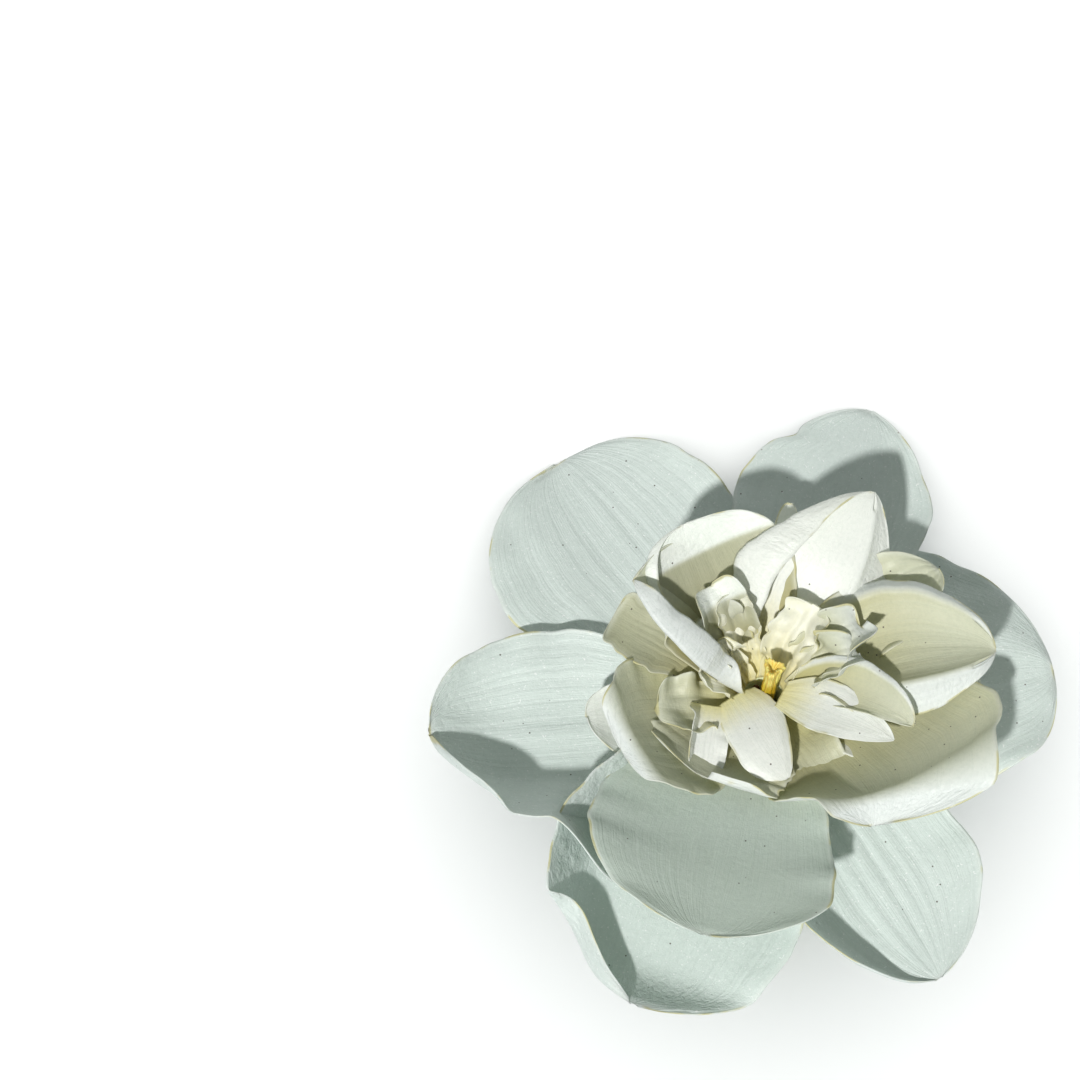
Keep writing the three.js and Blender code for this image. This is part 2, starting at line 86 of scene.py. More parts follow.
# %% Make the camera
PICTURE = 1080
HEART_PIXEL = (763, 711)
OFF_AXIS = math.radians(22)
CAMERA_DISTANCE = 434 * MM
LENS = 85  # mm
SENSOR = 36  # mm


def make_camera():
    data = bpy.data.cameras.new("camera")
    data.lens = LENS
    data.sensor_width = SENSOR
    camera = bpy.data.objects.new("camera", data)
    bpy.context.scene.collection.objects.link(camera)
    aimed = LEAN @ Matrix.Rotation(OFF_AXIS, 3, "X")
    focal_pixels = LENS / SENSOR * PICTURE
    right = (HEART_PIXEL[0] - PICTURE / 2) / focal_pixels
    down = (HEART_PIXEL[1] - PICTURE / 2) / focal_pixels
    to_heart = Vector((right, -down, -1))
    pan = to_heart.rotation_difference(Vector((0, 0, -1))).to_matrix()
    camera.location = HEART + aimed @ Vector((0, 0, CAMERA_DISTANCE))
    camera.rotation_euler = (aimed @ pan).to_euler()
    bpy.context.scene.camera = camera
    return camera


camera = make_camera()
print("camera at, in mm:", [round(value / MM) for value in camera.location])

# %% [markdown]
# ## Helpers for node trees
#
# Materials and Geometry Nodes are both trees of nodes. One helper adds a node and fills its inputs,
# either with a value or with a link from another node's output. The others are built on it: one does
# arithmetic, one passes smoothly from one value to another, and two make noise and a vector.

# %% Node helpers


def add(tree, kind, inputs=None, **settings):
    node = tree.nodes.new(kind)
    for name, value in settings.items():
        setattr(node, name, value)
    for key, value in (inputs or {}).items():
        if isinstance(value, bpy.types.NodeSocket):
            tree.links.new(value, node.inputs[key])
        else:
            node.inputs[key].default_value = value
    return node


def calculate(tree, operation, first, second=0.0):
    return add(tree, "ShaderNodeMath", {0: first, 1: second}, operation=operation).outputs[0]


def between(tree, value, low, high, to_low=0.0, to_high=1.0):
    inputs = {"Value": value, "From Min": low, "From Max": high, "To Min": to_low, "To Max": to_high}
    return add(tree, "ShaderNodeMapRange", inputs, interpolation_type="SMOOTHSTEP").outputs["Result"]


def noise(tree, vector, scale=1.0, detail=2.0, roughness=0.5):
    inputs = {"Vector": vector, "Scale": scale, "Detail": detail, "Roughness": roughness}
    return add(tree, "ShaderNodeTexNoise", inputs).outputs[0]


def vector_of(tree, x, y=0.0, z=0.0):
    return add(tree, "ShaderNodeCombineXYZ", {0: x, 1: y, 2: z}).outputs[0]


# %% [markdown]
# ## Table and light
#
# The table is a plain pale sheet. The photograph was lit by the sun, about half way up the sky on the
# side that the stem points to. Its shadows have slightly soft edges and are not black inside, so a
# sun lamp a few degrees wide and a pale glow all round do the same in the studio. The glow is a
# touch greener than the lamp, which gives the white petals their cool shade.
#
# The flower was shown on pure white, where its own shadow hardly falls. Light linking does that: the
# lamp lights everything but the table, and a second, very wide lamp lights nothing but the table.

# %% Set up the table and the studio light
TABLE_SIZE = 3
TABLE_COLOUR = (0.93, 0.93, 0.93, 1)
TABLE_ROUGHNESS = 0.9
TABLE_SHINE = 0.1
LAMP_HEIGHT = math.radians(48)  # above the plane of the bloom's face
LAMP_TURN = math.radians(-107)  # anticlockwise from the bloom's +X
LAMP_STRENGTH = 3.5
LAMP_COLOUR = (1, 0.99, 0.97)
LAMP_WIDTH = math.radians(3)
GLOW_COLOUR = (0.92, 1, 0.95, 1)
GLOW_STRENGTH = 0.27
TABLE_LAMP_STRENGTH = 3
TABLE_LAMP_WIDTH = math.radians(100)


def make_table():
    half = TABLE_SIZE / 2
    corners = [(-half, -half, 0), (half, -half, 0), (half, half, 0), (-half, half, 0)]
    mesh = bpy.data.meshes.new("table")
    mesh.from_pydata(corners, [], [(0, 1, 2, 3)])
    material = bpy.data.materials.new("table_paint")
    material.use_nodes = True
    shader = material.node_tree.nodes["Principled BSDF"]
    shader.inputs["Base Color"].default_value = TABLE_COLOUR
    shader.inputs["Roughness"].default_value = TABLE_ROUGHNESS
    shader.inputs["Specular IOR Level"].default_value = TABLE_SHINE
    mesh.materials.append(material)
    table = bpy.data.objects.new("table", mesh)
    bpy.context.scene.collection.objects.link(table)
    return table


def link_light(lamp, piece, state):
    """INCLUDE lets a lamp light only this piece, EXCLUDE every piece but this one."""
    reach = bpy.data.collections.new(lamp.name + "_reach")
    reach.objects.link(piece)
    reach.collection_objects[0].light_linking.link_state = state
    lamp.light_linking.receiver_collection = reach


def make_sun(name, strength, width):
    data = bpy.data.lights.new(name, "SUN")
    data.energy = strength
    data.angle = width
    lamp = bpy.data.objects.new(name, data)
    bpy.context.scene.collection.objects.link(lamp)
    return lamp


def make_lamp(table):
    flat = math.cos(LAMP_HEIGHT)
    to_lamp = Vector((flat * math.cos(LAMP_TURN), flat * math.sin(LAMP_TURN), math.sin(LAMP_HEIGHT)))
    lamp = make_sun("lamp", LAMP_STRENGTH, LAMP_WIDTH)
    lamp.data.color = LAMP_COLOUR
    lamp.rotation_euler = (LEAN @ to_lamp).to_track_quat("Z", "Y").to_euler()
    link_light(lamp, table, "EXCLUDE")


def make_table_lamp(table):
    lamp = make_sun("table_lamp", TABLE_LAMP_STRENGTH, TABLE_LAMP_WIDTH)
    link_light(lamp, table, "INCLUDE")


def make_glow():
    world = bpy.data.worlds.new("studio")
    world.use_nodes = True
    background = world.node_tree.nodes["Background"]
    background.inputs["Color"].default_value = GLOW_COLOUR
    background.inputs["Strength"].default_value = GLOW_STRENGTH
    bpy.context.scene.world = world


table = make_table()
make_lamp(table)
make_table_lamp(table)
make_glow()
bpy.context.scene.view_settings.view_transform = "Standard"
print("lamp above the bloom's face, in degrees:", round(math.degrees(LAMP_HEIGHT)))

# %% [markdown]
# ## Petal material
#
# A daffodil petal is a thin, wet sheet. Light soaks through it, long veins run from its foot to its
# tip, and its skin is made of tiny domed cells that sparkle. Each petal mesh carries its own
# measures: how far along it a point lies, how far out from the midrib in millimetres, how close to
# the rim, whether it is on the outer skin, and how far it is folded over. The pattern is built on
# these, so veins follow every bend and converge as they should.
#
# The relief comes first: veins, finer striae between them, cells, and creases that run across the
# petal. The creases are deepest where the skin is turned over, because a fold crumples it.

# %% The relief of the petal skin
VEIN_SPACING = 0.8  # mm
VEINS_ALONG = 1  # how often their pattern changes in the length of a petal
VEIN_HEIGHT = 0.75  # this and the next heights are shares of SKIN_RELIEF
STRIA_SPACING = 0.22  # mm
STRIAE_ALONG = 14
STRIA_HEIGHT = 0.25
CELLS_PER_METRE = 3800
CELL_HEIGHT = 0.16
CREASE_SPACING = 3.2  # mm
CREASES_ALONG = 20
FLAT_CREASE_HEIGHT = 0.8
FOLDED_CREASE_HEIGHT = 3.5
SKIN_RELIEF = 0.22 * MM


def attribute(tree, name):
    return add(tree, "ShaderNodeAttribute", attribute_name=name).outputs["Fac"]


def object_place(tree):
    return add(tree, "ShaderNodeTexCoord").outputs["Object"]


def lengthwise(tree, along, across, spacing, count):
    """Noise coordinates for marks that are this far apart across a petal and repeat along it."""
    sideways = calculate(tree, "DIVIDE", across, spacing)
    onwards = calculate(tree, "MULTIPLY", along, count)
    return vector_of(tree, sideways, onwards)


def petal_relief(tree, along, across, turned):
    veins = noise(tree, lengthwise(tree, along, across, VEIN_SPACING, VEINS_ALONG), detail=3.0)
    striae = noise(tree, lengthwise(tree, along, across, STRIA_SPACING, STRIAE_ALONG))
    cells = noise(tree, object_place(tree), CELLS_PER_METRE, detail=1.0)
    creases = noise(tree, lengthwise(tree, along, across, CREASE_SPACING, CREASES_ALONG), detail=3.0)
    creases = calculate(tree, "ABSOLUTE", calculate(tree, "SUBTRACT", creases, 0.5))
    crease_height = between(tree, turned, 0, 1, FLAT_CREASE_HEIGHT, FOLDED_CREASE_HEIGHT)
    relief = calculate(tree, "MULTIPLY", veins, VEIN_HEIGHT)
    for mark, height in ((striae, STRIA_HEIGHT), (cells, CELL_HEIGHT), (creases, crease_height)):
        relief = calculate(tree, "ADD", relief, calculate(tree, "MULTIPLY", mark, height))
    return relief, veins


# %% [markdown]
# Next the colour. A petal has one colour at its foot and another on its blade, and they meet in an
# uneven line along the veins. The outer skin, and a margin or tip that is folded over, can have a
# third, and so can a painted sunlit band at the tip. Over these lie a fine grain, the darker veins, a
# few dark specks and many painted glints, tiny white highlights. The rim is thin and pale, and in
# places it has dried to a yellow brown. Each mark fades in between the two values of its noise, or of
# the rim measure, that its line gives.

# %% The colour of the petal skin
UNEVEN_FOOT = 0.12  # share of the length by which a vein carries the foot's colour further
FOOT_END = 0.02  # where the foot has its full colour
GRAINS_PER_METRE = 1400
GRAIN_SHADE = (0.78, 0.82, 0.8, 1)
GRAIN_DEPTH = 0.25
VEIN_SHADE = (0.86, 0.9, 0.88, 1)
VEIN_DEPTH = 0.22
SPECKS_PER_METRE = 330
SPECK_COLOUR = (0.12, 0.1, 0.09, 1)
SPECK_RADIUS = (0.035, 0.06)  # of its full colour and of its edge, in cells
# painted highlights: tiny white glints spread by noise over the petal colour
PAINTED_GLINTS_PER_METRE = 2600
PAINTED_GLINT_COLOUR = (0.97, 0.99, 1, 1)
RIM_COLOUR = (0.93, 0.95, 0.93, 1)
RIM_DEPTH = 0.3
DRIED_PER_METRE = 160
DRIED_COLOUR = (0.66, 0.62, 0.3, 1)
DRIED_DEPTH = 0.75


def blend_colours(tree, share, first, second, mode="MIX"):
    node = add(tree, "ShaderNodeMix", data_type="RGBA", blend_type=mode)
    colours = [socket for socket in node.inputs if socket.type == "RGBA"]
    factor = next(socket for socket in node.inputs if socket.name == "Factor")
    for socket, value in ((factor, share), (colours[0], first), (colours[1], second)):
        if isinstance(value, bpy.types.NodeSocket):
            tree.links.new(value, socket)
        else:
            socket.default_value = value
    return next(socket for socket in node.outputs if socket.type == "RGBA")


def own_colour(tree, along, turned, veins, foot, blade, outer, foot_reach):
    ragged_along = calculate(tree, "ADD", along, calculate(tree, "MULTIPLY", veins, UNEVEN_FOOT))
    near_foot = between(tree, ragged_along, foot_reach, FOOT_END)
    return blend_colours(tree, turned, blend_colours(tree, near_foot, blade, foot), outer)


def with_marks(tree, colour, veins, glint_paint):
    place = object_place(tree)
    grains = noise(tree, place, GRAINS_PER_METRE, detail=3.0, roughness=0.7)
    grain = between(tree, grains, 0.4, 0.7, 0.0, GRAIN_DEPTH)
    colour = blend_colours(tree, grain, colour, GRAIN_SHADE, "MULTIPLY")
    streak = between(tree, veins, 0.3, 0.75, 0.0, VEIN_DEPTH)
    colour = blend_colours(tree, streak, colour, VEIN_SHADE, "MULTIPLY")
    cells = add(tree, "ShaderNodeTexVoronoi", {"Vector": place, "Scale": SPECKS_PER_METRE})
    full, edge = SPECK_RADIUS
    specks = between(tree, cells.outputs["Distance"], edge, full)
    colour = blend_colours(tree, specks, colour, SPECK_COLOUR)
    # painted glints: tiny white highlights laid into the colour
    glint_noise = noise(tree, place, PAINTED_GLINTS_PER_METRE, detail=1.0)
    painted_glint_share = between(tree, glint_noise, 0.66, 0.74, 0.0, glint_paint)
    return blend_colours(tree, painted_glint_share, colour, PAINTED_GLINT_COLOUR)


def with_rim(tree, colour, rim):
    thin = between(tree, rim, 0.3, 1.0, 0.0, RIM_DEPTH)
    colour = blend_colours(tree, thin, colour, RIM_COLOUR)
    patches = between(tree, noise(tree, object_place(tree), DRIED_PER_METRE), 0.48, 0.62)
    at_edge = between(tree, rim, 0.72, 0.9, 0.0, DRIED_DEPTH)
    return blend_colours(tree, calculate(tree, "MULTIPLY", patches, at_edge), colour, DRIED_COLOUR)


# %% [markdown]
# A finish joins the two. Part of the light is scattered by the waxy surface and part passes through
# the sheet, so a Principled shader and a translucent one are mixed. The back petals are the coolest
# white and carry the most painted glints. The cup finish paints shade inside its petals, an olive
# cream, and keeps white only outside and on folded margins. The bowl finish of the upper left bowl
# paints the darkest shade, with a painted sunlit band at the tip. The low finish paints the lower
# centre petal a darker grey green for the shade it lies in, and the crown pieces are warm all over.

# %% The petal finishes
SKIN_ROUGHNESS = 0.42
SKIN_SHINE = 0.35
SOAKED_TINT = (1, 0.995, 0.9, 1)  # light that passed through the flesh is a little warmer


def petal_finish(name, foot, blade, foot_reach, soak, depth=1.0, outer=None, glint_paint=0.0):
    material = bpy.data.materials.new(name)
    material.use_nodes = True
    tree = material.node_tree
    shader = tree.nodes["Principled BSDF"]
    along = attribute(tree, "along")
    turned = calculate(tree, "MAXIMUM", attribute(tree, "outside"), attribute(tree, "fold"))
    relief, veins = petal_relief(tree, along, attribute(tree, "across"), turned)
    colour = own_colour(tree, along, turned, veins, foot, blade, outer or blade, foot_reach)
    colour = with_marks(tree, colour, veins, glint_paint)
    colour = with_rim(tree, colour, attribute(tree, "rim"))
    heights = {"Height": relief, "Strength": depth, "Distance": SKIN_RELIEF}
    bump = add(tree, "ShaderNodeBump", heights).outputs[0]
    tree.links.new(colour, shader.inputs["Base Color"])
    tree.links.new(bump, shader.inputs["Normal"])
    shader.inputs["Roughness"].default_value = SKIN_ROUGHNESS
    shader.inputs["Specular IOR Level"].default_value = SKIN_SHINE
    soaked = blend_colours(tree, 1.0, colour, SOAKED_TINT, "MULTIPLY")
    through = add(tree, "ShaderNodeBsdfTranslucent", {"Color": soaked, "Normal": bump})
    mixed = add(tree, "ShaderNodeMixShader", {0: soak, 1: shader.outputs[0], 2: through.outputs[0]})
    tree.links.new(mixed.outputs[0], tree.nodes["Material Output"].inputs["Surface"])
    return material


PETAL_PAINTS = {
    # the back petals carry the most painted glints
    "back_petal": dict(
        foot=(0.68, 0.74, 0.5, 1), blade=(0.74, 0.81, 0.79, 1), foot_reach=0.3, soak=0.22, glint_paint=0.8),
    # painted shade: a darker, greener blade for the lower centre petal, which lies in shade
    "low_petal": dict(
        foot=(0.74, 0.79, 0.62, 1), blade=(0.7, 0.78, 0.72, 1), foot_reach=0.5, soak=0.25, depth=0.8),
    "middle_petal": dict(
        foot=(0.92, 0.87, 0.5, 1), blade=(0.93, 0.945, 0.93, 1), foot_reach=0.5, soak=0.34, depth=0.6),
    # painted shade: the olive cream inside stands for the shade in deep cups; the white outer colour is
    # their own
    "cup_petal": dict(
        foot=(0.6, 0.56, 0.26, 1), blade=(0.7, 0.71, 0.57, 1), outer=(0.87, 0.9, 0.91, 1),
        foot_reach=0.95, soak=0.34, depth=0.6),
    # painted shade: the darkest inside colour, for the shaded upper left bowl; its white also paints the
    # sunlit tip band
    "bowl_petal": dict(
        foot=(0.55, 0.48, 0.18, 1), blade=(0.52, 0.52, 0.38, 1), outer=(0.96, 0.985, 0.97, 1),
        foot_reach=0.8, soak=0.34, depth=0.6),
    "crown_petal": dict(
        foot=(0.9, 0.82, 0.4, 1), blade=(0.97, 0.96, 0.86, 1), foot_reach=0.75, soak=0.36, depth=0.4),
}
FINISHES = {name: petal_finish(name, **paint) for name, paint in PETAL_PAINTS.items()}
print("petal finishes:", ", ".join(FINISHES))

# %% [markdown]
# ## The shape of a petal
#
# Every petal grows from the ring on top of the tube, and its shape follows one rule. A midrib starts
# at an angle round the ring and rises, bends or curls on its way. Across it, the sheet is as wide as
# an outline says, and turns up more and more towards its margins. A margin can also roll over.
#
# The same rule, with nearly the same numbers, made the solid petals of the measuring model. There
# the tight folds are opened a little, and a petal is cut back where it would meet its neighbour.
# Here the rule has many more points, and what a living petal has besides: a wavy margin, notches
# and a slight wander of the whole surface.

# %% What a petal is like unless its own entry says otherwise
NO_ROLL = (0, 0.5, 1)
NO_PLEATS = (0, 5, 0.4)
PLAIN_PETAL = dict(
    azimuth=0,  # where it leaves the ring, in degrees anticlockwise from +X
    radius=5.2,  # how far from the axis it starts
    height=2,  # how high it starts
    turn=0,  # how far its heading differs from its azimuth at the foot
    swing=0,  # how far the heading turns on the way to the tip
    length=30,
    width=(10, 10),  # widest half width, on the anticlockwise and on the clockwise side
    foot=0.4,  # width at the foot, as a share of the widest
    widest=(0.6, 0.6),  # where each side is widest, as a share of the length
    blunt=(2, 2),  # 1.3 is pointed, 2 is round, 3 is square
    rise=(30, 10),  # slope at the foot and at the tip
    curl=(0, 0.6, 1),  # extra slope, and the shares of the length between which it is gained
    twist=(0, 0),  # at the foot and at the tip, positive lifts the anticlockwise margin
    cup=(30, 30),  # how far the margins have turned up, at the foot and at the tip
    roll=(NO_ROLL, NO_ROLL),  # for each side its margin's extra turn, and from where to where
    roll_grows=(0, 0.3),  # the shares of the length between which that turn develops
    ruffle=0,  # height of the even waves along the margins
    waves=2,
    flutter=0.5,  # height of the uneven waves along the margins
    wander=0.5,  # how far the whole sheet strays from the rule
    ragged=0.02,  # how uneven the outline is, as a share of the width
    notches=(),  # (place along the margin, side, depth, reach), all shares
    pleats=(0.05, 5, 0.4),  # height, number on each side, and share of the width that they reach
    sunlit_tip=None,  # the shares of the length between which a painted sunlit band at the tip begins
    finish="middle_petal",
    skin={},
    rows=76,  # faces from the foot to the tip
    half=30,  # faces from the midrib to a margin
)
TEPAL = dict(PLAIN_PETAL, radius=5.4, finish="back_petal", rows=110, half=46, flutter=0.8, wander=0.8)
CROWN = dict(PLAIN_PETAL, finish="crown_petal", rows=56, half=22, flutter=0.7, wander=0.3, ragged=0.05)
NARROWEST = 0.04  # width at the very tip, as a share of the widest
LEFT = 0  # the anticlockwise side, seen from above
RIGHT = 1

# %% The rule, first part: along the midrib
MIDRIB_STEPS = 400


def smooth(t):
    inside = np.clip(t, 0, 1)
    return inside * inside * (3 - 2 * inside)


def between_places(u, start, end):
    return smooth((u - start) / (end - start))


def mix(ends, share):
    return ends[0] + (ends[1] - ends[0]) * share


def directions(petal, u):
    heading = np.radians(petal["azimuth"] + petal["turn"] + petal["swing"] * u)
    curl, start, end = petal["curl"]
    slope = np.radians(mix(petal["rise"], u) + curl * between_places(u, start, end))
    flat = np.cos(slope)
    along = np.stack([flat * np.cos(heading), flat * np.sin(heading), np.sin(slope)], axis=-1)
    aside = np.stack([-np.sin(heading), np.cos(heading), 0 * heading], axis=-1)
    return along, aside


def midrib(petal, u):
    ends = np.linspace(0, 1, MIDRIB_STEPS + 1)
    middles = (ends[1:] + ends[:-1]) / 2
    walked = np.cumsum(directions(petal, middles)[0], axis=0) * petal["length"] / MIDRIB_STEPS
    walked = np.vstack([np.zeros(3), walked])
    start = math.radians(petal["azimuth"])
    foot = np.array([petal["radius"] * math.cos(start), petal["radius"] * math.sin(start), petal["height"]])
    return foot + np.stack([np.interp(u, ends, walked[:, axis]) for axis in range(3)], axis=-1)


def turned_across(petal, u, along, aside):
    twist = np.radians(mix(petal["twist"], u))[:, None]
    return aside * np.cos(twist) + np.cross(along, aside) * np.sin(twist)


# %% The rule, second part: across the midrib
OCTAVES = (1, 2, 3, 5)  # waves of these frequencies make up an uneven curve
USUAL_PEAK = 1.6  # of their sum
RAGGED_FREQUENCY = 14  # this and the next two are in radians for the length of a petal
FLUTTER_FREQUENCY = 9
PLEAT_FREQUENCY = 3
WAVES_GROW = 2  # the even waves and the strays are at full height from 1 / 2 of the length on
FLUTTER_GROWS = 3  # the uneven waves and the ragged outline are so from 1 / 3 on
FLUTTER_SEED = 1  # this and the next four are added to a petal's seed, so that its curves differ
PLEAT_SEED = 2
RIGHT_SEED = 10
LONG_SEED = 20
WIDE_SEED = 21


def uneven(seed, places):
    """A smooth random curve between about -1 and 1."""
    chance = np.random.default_rng(seed)
    height = 0 * places
    for octave in OCTAVES:
        phase = chance.uniform(0, 2 * np.pi)
        height = height + np.sin(octave * places + phase) / octave
    return height / USUAL_PEAK


def half_width(petal, u, side, seed):
    widest = petal["widest"][side]
    blunt = petal["blunt"][side]
    rising = petal["foot"] + (1 - petal["foot"]) * np.sin(np.pi / 2 * np.minimum(u / widest, 1))
    beyond = np.clip((u - widest) / (1 - widest), 0, 1)
    falling = np.maximum((1 - beyond**blunt) ** (1 / blunt), NARROWEST)
    share = np.where(u < widest, rising, falling)
    tears = petal["ragged"] * uneven(seed, u * RAGGED_FREQUENCY)
    share = share * (1 + tears * smooth(FLUTTER_GROWS * u))
    for place, where, depth, reach in petal["notches"]:
        if where == side:
            share = share * (1 - depth * np.exp(-(((u - place) / reach) ** 2)))
    return petal["width"][side] * share


def half_section(petal, u, side, seed):
    """How far sideways and upwards every point lies, for every place along and every place outwards."""
    half = petal["half"]
    v = np.linspace(0, 1, half + 1)
    middles = (v[1:] + v[:-1]) / 2
    rolled, start, end = petal["roll"][side]
    rolled = rolled * between_places(u, *petal["roll_grows"])[:, None] * between_places(middles, start, end)
    bend = np.radians(mix(petal["cup"], u[:, None]) * middles + rolled)
    width = half_width(petal, u, side, seed)[:, None]
    nothing = np.zeros((len(u), 1))
    sideways = np.hstack([nothing, np.cumsum(np.cos(bend) * width / half, axis=1)])
    upwards = np.hstack([nothing, np.cumsum(np.sin(bend) * width / half, axis=1)])
    sign = 1 if side == LEFT else -1
    even_wave = petal["ruffle"] * np.sin(2 * np.pi * petal["waves"] * u + sign)
    loose_wave = petal["flutter"] * uneven(seed + FLUTTER_SEED, u * FLUTTER_FREQUENCY)
    upwards += v * smooth(WAVES_GROW * u)[:, None] * even_wave[:, None]
    upwards += v**3 * smooth(FLUTTER_GROWS * u)[:, None] * loose_wave[:, None]
    height, count, reach = petal["pleats"]
    fold = np.cos(2 * np.pi * v * count + uneven(seed + PLEAT_SEED, u * PLEAT_FREQUENCY)[:, None])
    upwards += height * fold * np.exp(-((v / reach) ** 2)) * np.sin(np.pi * u)[:, None]
    return sideways, upwards, v * width


# %% The rule, third part: folds and the whole sheet
RIM_WIDTH = 1.6  # mm
FULL_FOLD = 60  # degrees of extra turn that count as folded over
LONG_STRAY = 0.6  # share of the wander that follows the length of the petal
WIDE_STRAY = 0.4  # share that changes across it too
STRAY_FREQUENCY = 4  # radians for the length
STRAY_BREADTH = 5  # mm for one radian


def folded_over(petal, u, v):
    """How far each point lies beyond a fold or in a painted sunlit tip band, from 0 to 1, clockwise margin
    first.
    """
    curled, start, end = petal["curl"]
    tip = between_places(u, start, end)[:, None] * min(abs(curled) / FULL_FOLD, 1)
    # painted light: a sunlit band at the tip takes the folded-over colour
    if petal["sunlit_tip"]:
        tip = np.maximum(tip, between_places(u, *petal["sunlit_tip"])[:, None])
    grown = between_places(u, *petal["roll_grows"])[:, None]
    sides = []
    for rolled, start, end in petal["roll"]:
        share = min(abs(rolled) / FULL_FOLD, 1)
        sides.append(np.maximum(tip, grown * between_places(v, start, end) * share))
    return np.hstack([sides[RIGHT][:, :0:-1], sides[LEFT]])


def strays(petal, u, breadth, seed):
    """How far every point of the sheet wanders from the rule."""
    long = uneven(seed + LONG_SEED, u * STRAY_FREQUENCY)[:, None] * LONG_STRAY
    wide = uneven(seed + WIDE_SEED, breadth / STRAY_BREADTH + u[:, None]) * WIDE_STRAY
    return petal["wander"] * (long + wide) * smooth(WAVES_GROW * u)[:, None]


def sheet(petal, seed):
    """Every point of a petal, and its measures. The rows lie closer together towards the tip."""
    u = np.sin(np.linspace(0, np.pi / 2, petal["rows"] + 1))
    along, aside = directions(petal, u)
    place = midrib(petal, u)
    across = turned_across(petal, u, along, aside)
    face = np.cross(along, across)
    left, left_up, left_breadth = half_section(petal, u, LEFT, seed)
    right, right_up, right_breadth = half_section(petal, u, RIGHT, seed + RIGHT_SEED)
    right_up = right_up - right_up[:, :1] + left_up[:, :1]
    sideways = np.hstack([-right[:, :0:-1], left])
    upwards = np.hstack([right_up[:, :0:-1], left_up])
    breadth = np.hstack([-right_breadth[:, :0:-1], left_breadth])
    upwards = upwards + strays(petal, u, breadth, seed)
    points = place[:, None] + sideways[..., None] * across[:, None] + upwards[..., None] * face[:, None]
    v = np.linspace(0, 1, petal["half"] + 1)
    spread = np.hstack([-petal["width"][RIGHT] * v[:0:-1], petal["width"][LEFT] * v])
    to_side = np.where(breadth < 0, right_breadth[:, -1:], left_breadth[:, -1:]) - np.abs(breadth)
    to_tip = ((1 - u) * petal["length"])[:, None]
    rim = 1 - np.clip(np.minimum(to_side, to_tip) / RIM_WIDTH, 0, 1)
    measures = {
        "along": u[:, None] + 0 * breadth,
        "across": spread + 0 * breadth,
        "rim": rim,
        "fold": folded_over(petal, u, v),
    }
    return points, measures


# %% [markdown]
# ## From sheet to petal
#
# The sheet has no thickness. A Geometry Nodes tree gives it one, and raises ridges along it on the
# way, because both follow the surface. Each point first moves along its normal by a ridge noise,
# the sheet is then extruded, thick in the middle and thin at the rim, and a turned-over copy of the
# sheet closes the other side. The faces of that copy are marked as the outside, for the material.

# %% The tree that gives a petal its skin
SKIN_SIZES = {  # in mm, but for the seed of the ridge noise
    "Thickness": 0.55,
    "Rim thickness": 0.16,
    "Ridge height": 0.1,
    "Ridge spacing": 1.6,
    "Seed": 0.0,
}
RIDGES_ALONG = 2.5  # in the length of a petal
RIDGES_FADE = (0.7, 0.98)  # the shares of the length between which the ridges die away
WELD = 1e-7  # metres


def named(tree, name):
    inputs = {"Name": name}
    return add(tree, "GeometryNodeInputNamedAttribute", inputs, data_type="FLOAT").outputs["Attribute"]


def petal_sockets(tree):
    tree.interface.new_socket("Sheet", in_out="INPUT", socket_type="NodeSocketGeometry")
    for name, size in SKIN_SIZES.items():
        socket = tree.interface.new_socket(name, in_out="INPUT", socket_type="NodeSocketFloat")
        socket.default_value = size
    tree.interface.new_socket("Finish", in_out="INPUT", socket_type="NodeSocketMaterial")
    tree.interface.new_socket("Petal", in_out="OUTPUT", socket_type="NodeSocketGeometry")


def ridge_heights(tree, given):
    outwards = calculate(tree, "DIVIDE", named(tree, "across"), given["Ridge spacing"])
    onwards = calculate(tree, "MULTIPLY", named(tree, "along"), RIDGES_ALONG)
    ridges = noise(tree, vector_of(tree, outwards, onwards, given["Seed"]), detail=1.0)
    full, gone = RIDGES_FADE
    fading = between(tree, named(tree, "along"), gone, full, 0.0, given["Ridge height"])
    ridges = calculate(tree, "MULTIPLY", calculate(tree, "SUBTRACT", ridges, 0.5), fading)
    return calculate(tree, "MULTIPLY", ridges, MM)


